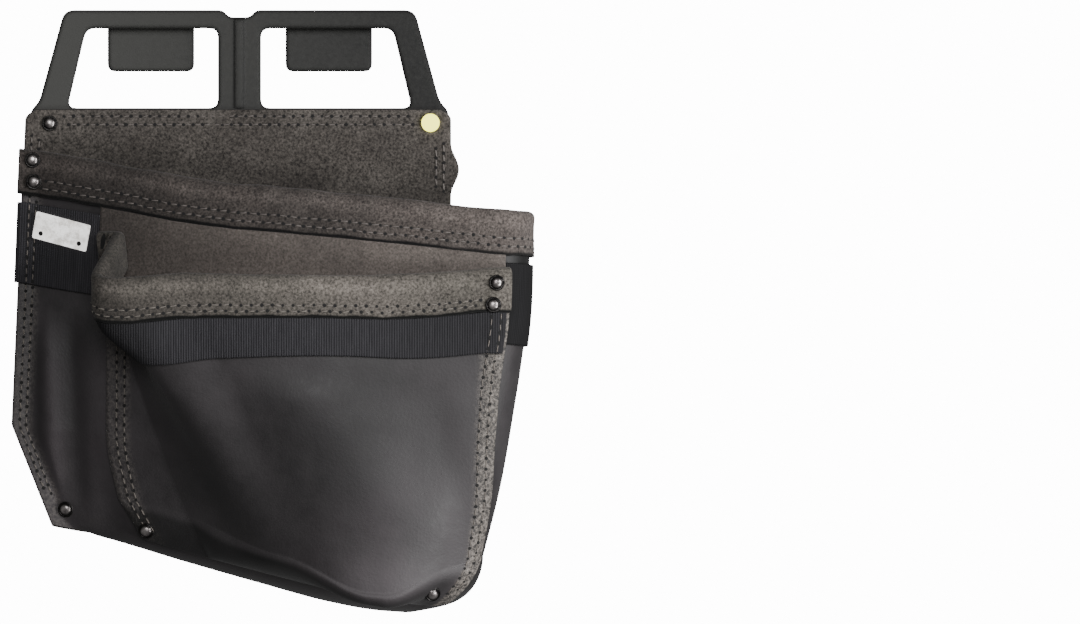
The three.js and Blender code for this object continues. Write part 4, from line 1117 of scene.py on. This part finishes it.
# Stitches: a thread lies between two needle holes, row after row
def thread_shape(sides=8):
    """A thread along the first axis, its length and radius both 1."""
    stations = [(0.0, 0.35), (0.08, 0.8), (0.5, 1.0), (0.92, 0.8), (1.0, 0.35)]
    first_way, second_way, third_way = np.eye(3)
    circle = spokes(sides, second_way, third_way)
    rings = [along * first_way + radius * circle for along, radius in stations]
    vertices = np.concatenate([*rings, [-0.02 * first_way, 1.02 * first_way]])
    faces = []
    for ring in range(len(stations) - 1):
        for k in range(sides):
            a, b = ring * sides + k, ring * sides + (k + 1) % sides
            faces += [(a, a + sides, b), (b, a + sides, b + sides)]
    first, last = len(stations) * sides, len(stations) * sides + 1
    for k in range(sides):
        n = (k + 1) % sides
        faces += [(first, k, n), (last, last - 1 - sides + n, last - 1 - sides + k)]
    return vertices, np.array(faces)


def hole_shape(sides=9):
    """A disc of radius 1 across the first two axes, its middle slightly raised."""
    first_way, second_way, third_way = np.eye(3)
    vertices = np.vstack([0.02 * third_way, spokes(sides, first_way, second_way)])
    return vertices, np.array([(0, 1 + k, 1 + (k + 1) % sides) for k in range(sides)])


def repeated(name, shape, places, made):
    """One piece of a small shape repeated, each time with its own middle and three axes."""
    corners, faces = shape
    vertices, all_faces = [], []
    for starts, *axes in places:
        for k, start in enumerate(starts):
            all_faces.append(faces + len(vertices) * len(corners))
            vertices.append(start + corners @ np.stack([axis[k] for axis in axes]))
    piece(name, np.concatenate(vertices), np.concatenate(all_faces), [made])


# How threads and holes differ from one another, and how far they lie off the surface
LENGTHS = (0.82, 1.1)
SLANTS = (-0.1, 0.3)
THICKNESSES = (0.8, 1.2)
HOLE_RADII = (0.68, 0.95)
THREAD_LIFT = 0.12
HOLE_LIFT = 0.07


class Stitches:
    """Rows of threads and needle holes."""

    def __init__(self):
        self.threads = []
        self.holes = []

    def row(self, points, normals, pitch, start=0.0, length=0.6, radius=0.3):
        along = running_total(np.linalg.norm(np.diff(points, axis=0), axis=-1))
        stops = np.arange(start * pitch, along[-1], pitch)

        def at(values, s):
            return np.stack([np.interp(s, along, values[:, k]) for k in range(3)], -1)

        rng = np.random.default_rng(len(self.threads) + 40)
        centres = stops[:-1] + pitch / 2
        half = pitch * length / 2 * rng.uniform(*LENGTHS, len(centres))
        a, b = at(points, centres - half), at(points, centres + half)
        n = unit(at(normals, centres))
        side = unit(np.cross(n, b - a))
        slant = rng.uniform(*SLANTS, len(centres))[:, None]
        a, b = a - side * slant, b + side * slant
        thick = rng.uniform(*THICKNESSES, len(centres))[:, None] * radius
        self.threads.append((a + n * THREAD_LIFT, b - a, side * thick, n * radius * 0.8))
        hole_n = unit(at(normals, stops))
        centre = at(points, stops) + hole_n * HOLE_LIFT
        one = unit(np.cross(hole_n, np.array([0.31, 0.2, 0.93])))
        size = rng.uniform(*HOLE_RADII, len(stops))[:, None]
        self.holes.append((centre, one * size, np.cross(hole_n, one) * size, hole_n))


def path_on(skin, us, vs, lift):
    us, vs = paired(us, vs)
    return skin.at(us, vs, lift), skin.normal(us, vs)


dark_stitches = Stitches()
pale_stitches = Stitches()
seam_stitches = Stitches()
PITCH = 5.2


def painted_shade_mark(place, across, down, normal):
    """A flat dark mark of painted shade, built with the needle holes."""
    dark_stitches.holes.append((place[None], across[None], down[None], normal[None]))


def node_middle(node):
    low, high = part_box(node)
    return np.array([(low[k] + high[k]) / 2 / MM for k in range(3)])


# Painted shade: dark rims of the plate's two holes, on its own front face
PLATE_TILT = math.radians(14)
PLATE_HOLE_OUT = 10.7
PLATE_HOLE_DOWN = 3.6
PLATE_HOLE_RADIUS = 1.25
PLATE_FACE_LIFT = 0.44
plate_faces = [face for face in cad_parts["label_plate"].data.polygons if face.normal.y < -0.5]
plate_normal = unit(np.array(max(plate_faces, key=lambda face: face.area).normal))
level = unit(np.cross(plate_normal, np.array([0.0, 0.0, 1.0])))
level = level * np.sign(level[0])
upward = np.cross(level, plate_normal)
upward = upward * np.sign(upward[2])
plate_across = math.cos(PLATE_TILT) * level - math.sin(PLATE_TILT) * upward
plate_up = math.sin(PLATE_TILT) * level + math.cos(PLATE_TILT) * upward
plate_face = node_middle("label_plate") + plate_normal * PLATE_FACE_LIFT
for side in (-1, 1):
    rim = plate_face + plate_across * side * PLATE_HOLE_OUT - plate_up * PLATE_HOLE_DOWN
    painted_shade_mark(rim, plate_across * PLATE_HOLE_RADIUS, plate_up * PLATE_HOLE_RADIUS, plate_normal)

for above, offset in ((4.0, 0.0), (8.0, 0.5)):
    dark_stitches.row(*hem_row(main_collar, above, 0.03, 0.86), PITCH, offset, 0.62, 0.32)
for above, offset in ((3.2, 0.0), (6.4, 0.5)):
    pale_stitches.row(*hem_row(front_collar, above, 0.12, 0.945), PITCH, offset)

BAND_TOP = HEM + MAIN_BAND_GAP
for u, offset in ((0.0115, 0.0), (0.0215, 0.5)):
    drops = np.linspace(HEM + 1, 185, 300)
    falls = np.minimum(pouch.fall_of(np.full(300, u), drops), 1.75)
    on_band = (drops > BAND_TOP) & (drops < BAND_TOP + BAND_WIDTH)
    lift = on_band * (GAP + WEBBING)
    seam_stitches.row(*path_on(pouch, u, falls, lift), 4.6, offset, radius=0.32)


def inside_edge(edge, inner, falls, distance):
    """Places at a distance in millimetres from the pocket's edge, towards a seam's inner line."""
    width = np.linalg.norm(pocket.at(edge, falls) - pocket.at(inner, falls), axis=-1)
    return edge + (inner - edge) * distance / width


for distance, offset in ((5.6, 0.0), (9.8, 0.5)):
    falls = np.linspace(0.19, 1.72, 400)
    places = inside_edge(0.0, POCKET_STATIONS[0], falls, distance)
    seam_stitches.row(*path_on(pocket, places, falls, 0.0), 4.8, offset, radius=0.34)

for distance, offset in ((4.6, 0.0), (9.0, 0.5)):
    falls = np.linspace(0.13, 1.7, 400)
    places = inside_edge(1.0, POCKET_STATIONS[-1], falls, distance)
    on_band = falls < pocket.fall_of(places, np.full(400, HEM + FRONT_BAND_SHOWING))
    lift = on_band * (GAP + WEBBING)
    seam_stitches.row(*path_on(pocket, places, falls, lift), 5.4, offset)


def panel_path(start, end, count=200):
    x, z = np.linspace(start, end, count).T
    path = np.stack([x, np.full(count, PANEL_FRONT - 0.05), z], -1)
    return path, np.tile([0.0, -1.0, 0.0], (count, 1))


for z_row, offset in ((-44.2, 0.0), (-48.4, 0.5)):
    dark_stitches.row(*panel_path((-88, z_row), (88, z_row)), 4.8, offset)
for inset, offset in ((3.4, 0.0), (7.2, 0.5)):
    left_edge_row = panel_path((-107.6 + inset, -54), (-108 + inset, -63))
    right_edge_row = panel_path((106 - inset, -58), (106 - inset, -84))
    dark_stitches.row(*left_edge_row, 4.4, offset, 0.68, 0.46)
    dark_stitches.row(*right_edge_row, 4.8, offset, 0.68, 0.46)

# Painted shade: a dark slot at the left end of the pocket's collar
SLOT_X, SLOT_Z = -67.4, -107
SLOT_HALF_WIDTH, SLOT_HALF_HEIGHT, SLOT_LIFT = 1.3, 4.2, 0.15
u, v = front_collar.place(SLOT_X, SLOT_Z, 0.02, 0.6)
normal = front_collar.normal(u, v)
across = unit(np.cross(normal, np.array([0.25, 0.0, 1.0])))
down = np.cross(normal, across)
place = front_collar.at(u, v, SLOT_LIFT)
painted_shade_mark(place, across * SLOT_HALF_WIDTH, down * SLOT_HALF_HEIGHT, normal)

repeated("threads_dark", thread_shape(), dark_stitches.threads, thread_dark)
repeated("threads_pale", thread_shape(), pale_stitches.threads, thread_pale)
repeated("threads_seam", thread_shape(), seam_stitches.threads, thread_seam)
# The needle holes are flat near-black discs, painted shade for the holes' insides
all_holes = dark_stitches.holes + pale_stitches.holes + seam_stitches.holes
repeated("needle_holes", hole_shape(), all_holes, hole_dark)


# Rivets, each on the face that carries it: radius and height of the head's profile
RIVET_PROFILE = [
    *[(0.0, 1.8), (0.8, 1.76), (1.5, 1.62), (2.1, 1.36), (2.6, 0.98), (2.9, 0.6), (3.05, 0.42)],
    *[(3.2, 0.46), (3.45, 0.62), (3.75, 0.56), (3.98, 0.25), (4.0, -0.4)],
]


def rivet_piece(node, place, normal, sides=28):
    normal = unit(np.asarray(normal, float))
    one = unit(np.cross(normal, [0.0, 0.0, 1.0]))
    two = np.cross(normal, one)
    vertices = [place + normal * RIVET_PROFILE[0][1]]
    for radius, height in RIVET_PROFILE[1:]:
        vertices.extend(place + normal * height + radius * spokes(sides, one, two))
    faces = []
    for k in range(sides):
        n = (k + 1) % sides
        faces.append((0, 1 + n, 1 + k))
        for ring in range(len(RIVET_PROFILE) - 2):
            a, b = 1 + ring * sides + k, 1 + ring * sides + n
            faces += [(a, b, a + sides), (b, b + sides, a + sides)]
    base = 1 + (len(RIVET_PROFILE) - 2) * sides
    faces += [(base, base + k, base + k + 1) for k in range(1, sides - 1)]
    rings = np.repeat([radius for radius, _ in RIVET_PROFILE[1:]], sides)
    radii = np.concatenate([[0.0], rings])
    # Painted light: a highlight in the middle of each head and painted shade towards its rim
    tone = 0.7 - 1.6 * smoothstep(1.4, 2.9, radii)
    piece(node + "_head", np.array(vertices), faces, [steel], [node], painted_light_and_wear={"tone": tone})


PANEL_FACING = np.array([0.0, -1.0, 0.0])
RIVET_OUT = 0.3
RIVET_TURNED = 0.6

# Skin that carries each rivet, height off it and a first guess of its place
RIVET_SEATS = {
    "rivet_main_collar_top": (pouch, GAP + SUEDE, 0.03, 0.03),
    "rivet_main_collar_bottom": (pouch, GAP + SUEDE, 0.03, 0.08),
    "rivet_main_bottom": (pouch, 0, 0.03, 1.1),
    "rivet_pocket_left_top": (pocket, 0, 0.02, 0.04),
    "rivet_pocket_left_bottom": (pocket, 0, 0.03, 1.3),
    "rivet_pocket_right_top": (pocket, GAP + SUEDE, 0.97, 0.03),
    "rivet_pocket_right_middle": (pocket, GAP + SUEDE, 0.97, 0.1),
    "rivet_pocket_right_bottom": (pocket, 0, 0.96, 1.4),
}
middle = node_middle("rivet_hanger")
middle[1] = PANEL_FRONT - RIVET_OUT
rivet_piece("rivet_hanger", middle, PANEL_FACING)
for node, (skin, lift, u, v) in RIVET_SEATS.items():
    # The rivet at the corner sits higher, further out and turned more to the front
    on_corner = node == "rivet_pocket_right_bottom"
    raised, out, turned = (2.2, 0.9, 1.2) if on_corner else (0.0, RIVET_OUT, RIVET_TURNED)
    middle = node_middle(node)
    u, v = skin.place(middle[0] - raised / 3, middle[2] + raised, u, v)
    normal = unit(skin.normal(u, v) + PANEL_FACING * turned)
    rivet_piece(node, skin.at(u, v, lift) + PANEL_FACING * out, normal)

# Finishes of the frame's own pieces
for node, made in (("hanger", plastic), ("label_plate", silver), ("marker_disc", marker)):
    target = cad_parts[node]
    target.data.materials.clear()
    target.data.materials.append(made)

# Light, surroundings and camera
world = bpy.data.worlds.new("studio")
bpy.context.scene.world = world
world.use_nodes = True
tree = world.node_tree
background = tree.nodes["Background"]
seen = tree.nodes.new("ShaderNodeBackground")
FILL_STRENGTH, SEEN_STRENGTH = 0.2, 14.0
for node, strength in ((background, FILL_STRENGTH), (seen, SEEN_STRENGTH)):
    node.inputs["Color"].default_value = (1.0, 1.0, 1.0, 1.0)
    node.inputs["Strength"].default_value = strength
path = tree.nodes.new("ShaderNodeLightPath")
blend = tree.nodes.new("ShaderNodeMixShader")
tree.links.new(path.outputs["Is Camera Ray"], blend.inputs[0])
tree.links.new(background.outputs[0], blend.inputs[1])
tree.links.new(seen.outputs[0], blend.inputs[2])
tree.links.new(blend.outputs[0], tree.nodes["World Output"].inputs["Surface"])


def area_light(name, place, target, size, power):
    data = bpy.data.lights.new(name, "AREA")
    data.shape = "DISK"
    data.size = size
    data.energy = power
    light = bpy.data.objects.new(name, data)
    light.location = place
    way = np.array(target) - np.array(place)
    yaw = math.atan2(way[1], way[0]) - math.pi / 2
    pitch = math.pi / 2 + math.atan2(way[2], math.hypot(way[0], way[1]))
    light.rotation_euler = (pitch, 0, yaw)
    bpy.context.scene.collection.objects.link(light)


BAG_MIDDLE = (0.02, -0.05, -0.16)
area_light("key", (0.84, -0.66, 0.06), BAG_MIDDLE, 0.35, 13)
area_light("front", (0.0, -2.2, 0.45), BAG_MIDDLE, 1.0, 29)
area_light("behind", (-0.9, 2.0, 0.3), BAG_MIDDLE, 1.0, 22)
area_light("low", (0.8, -0.62, -0.5), (0.09, -0.07, -0.25), 0.3, 8)

# The photograph's size, its pixel in millimetres and the pixel of the frame's origin
PHOTO_WIDTH, PHOTO_HEIGHT, PIXEL = 1080, 624, 0.5
ORIGIN_ACROSS, ORIGIN_DOWN = 238, 27
DISTANCE = 7.0
MIDDLE_DEPTH = 0.04
SENSOR_WIDTH = 36.0
camera_data = bpy.data.cameras.new("camera")
camera_data.sensor_width = SENSOR_WIDTH
camera_data.lens = SENSOR_WIDTH * DISTANCE / (PHOTO_WIDTH * PIXEL * MM)
camera_data.clip_end = 50.0
camera = bpy.data.objects.new("camera", camera_data)
camera_x = (PHOTO_WIDTH / 2 - ORIGIN_ACROSS) * PIXEL * MM
camera_z = (ORIGIN_DOWN - PHOTO_HEIGHT / 2) * PIXEL * MM
camera.location = (camera_x, -DISTANCE - MIDDLE_DEPTH, camera_z)
camera.rotation_euler = (math.pi / 2, 0, 0)
bpy.context.scene.collection.objects.link(camera)
bpy.context.scene.camera = camera
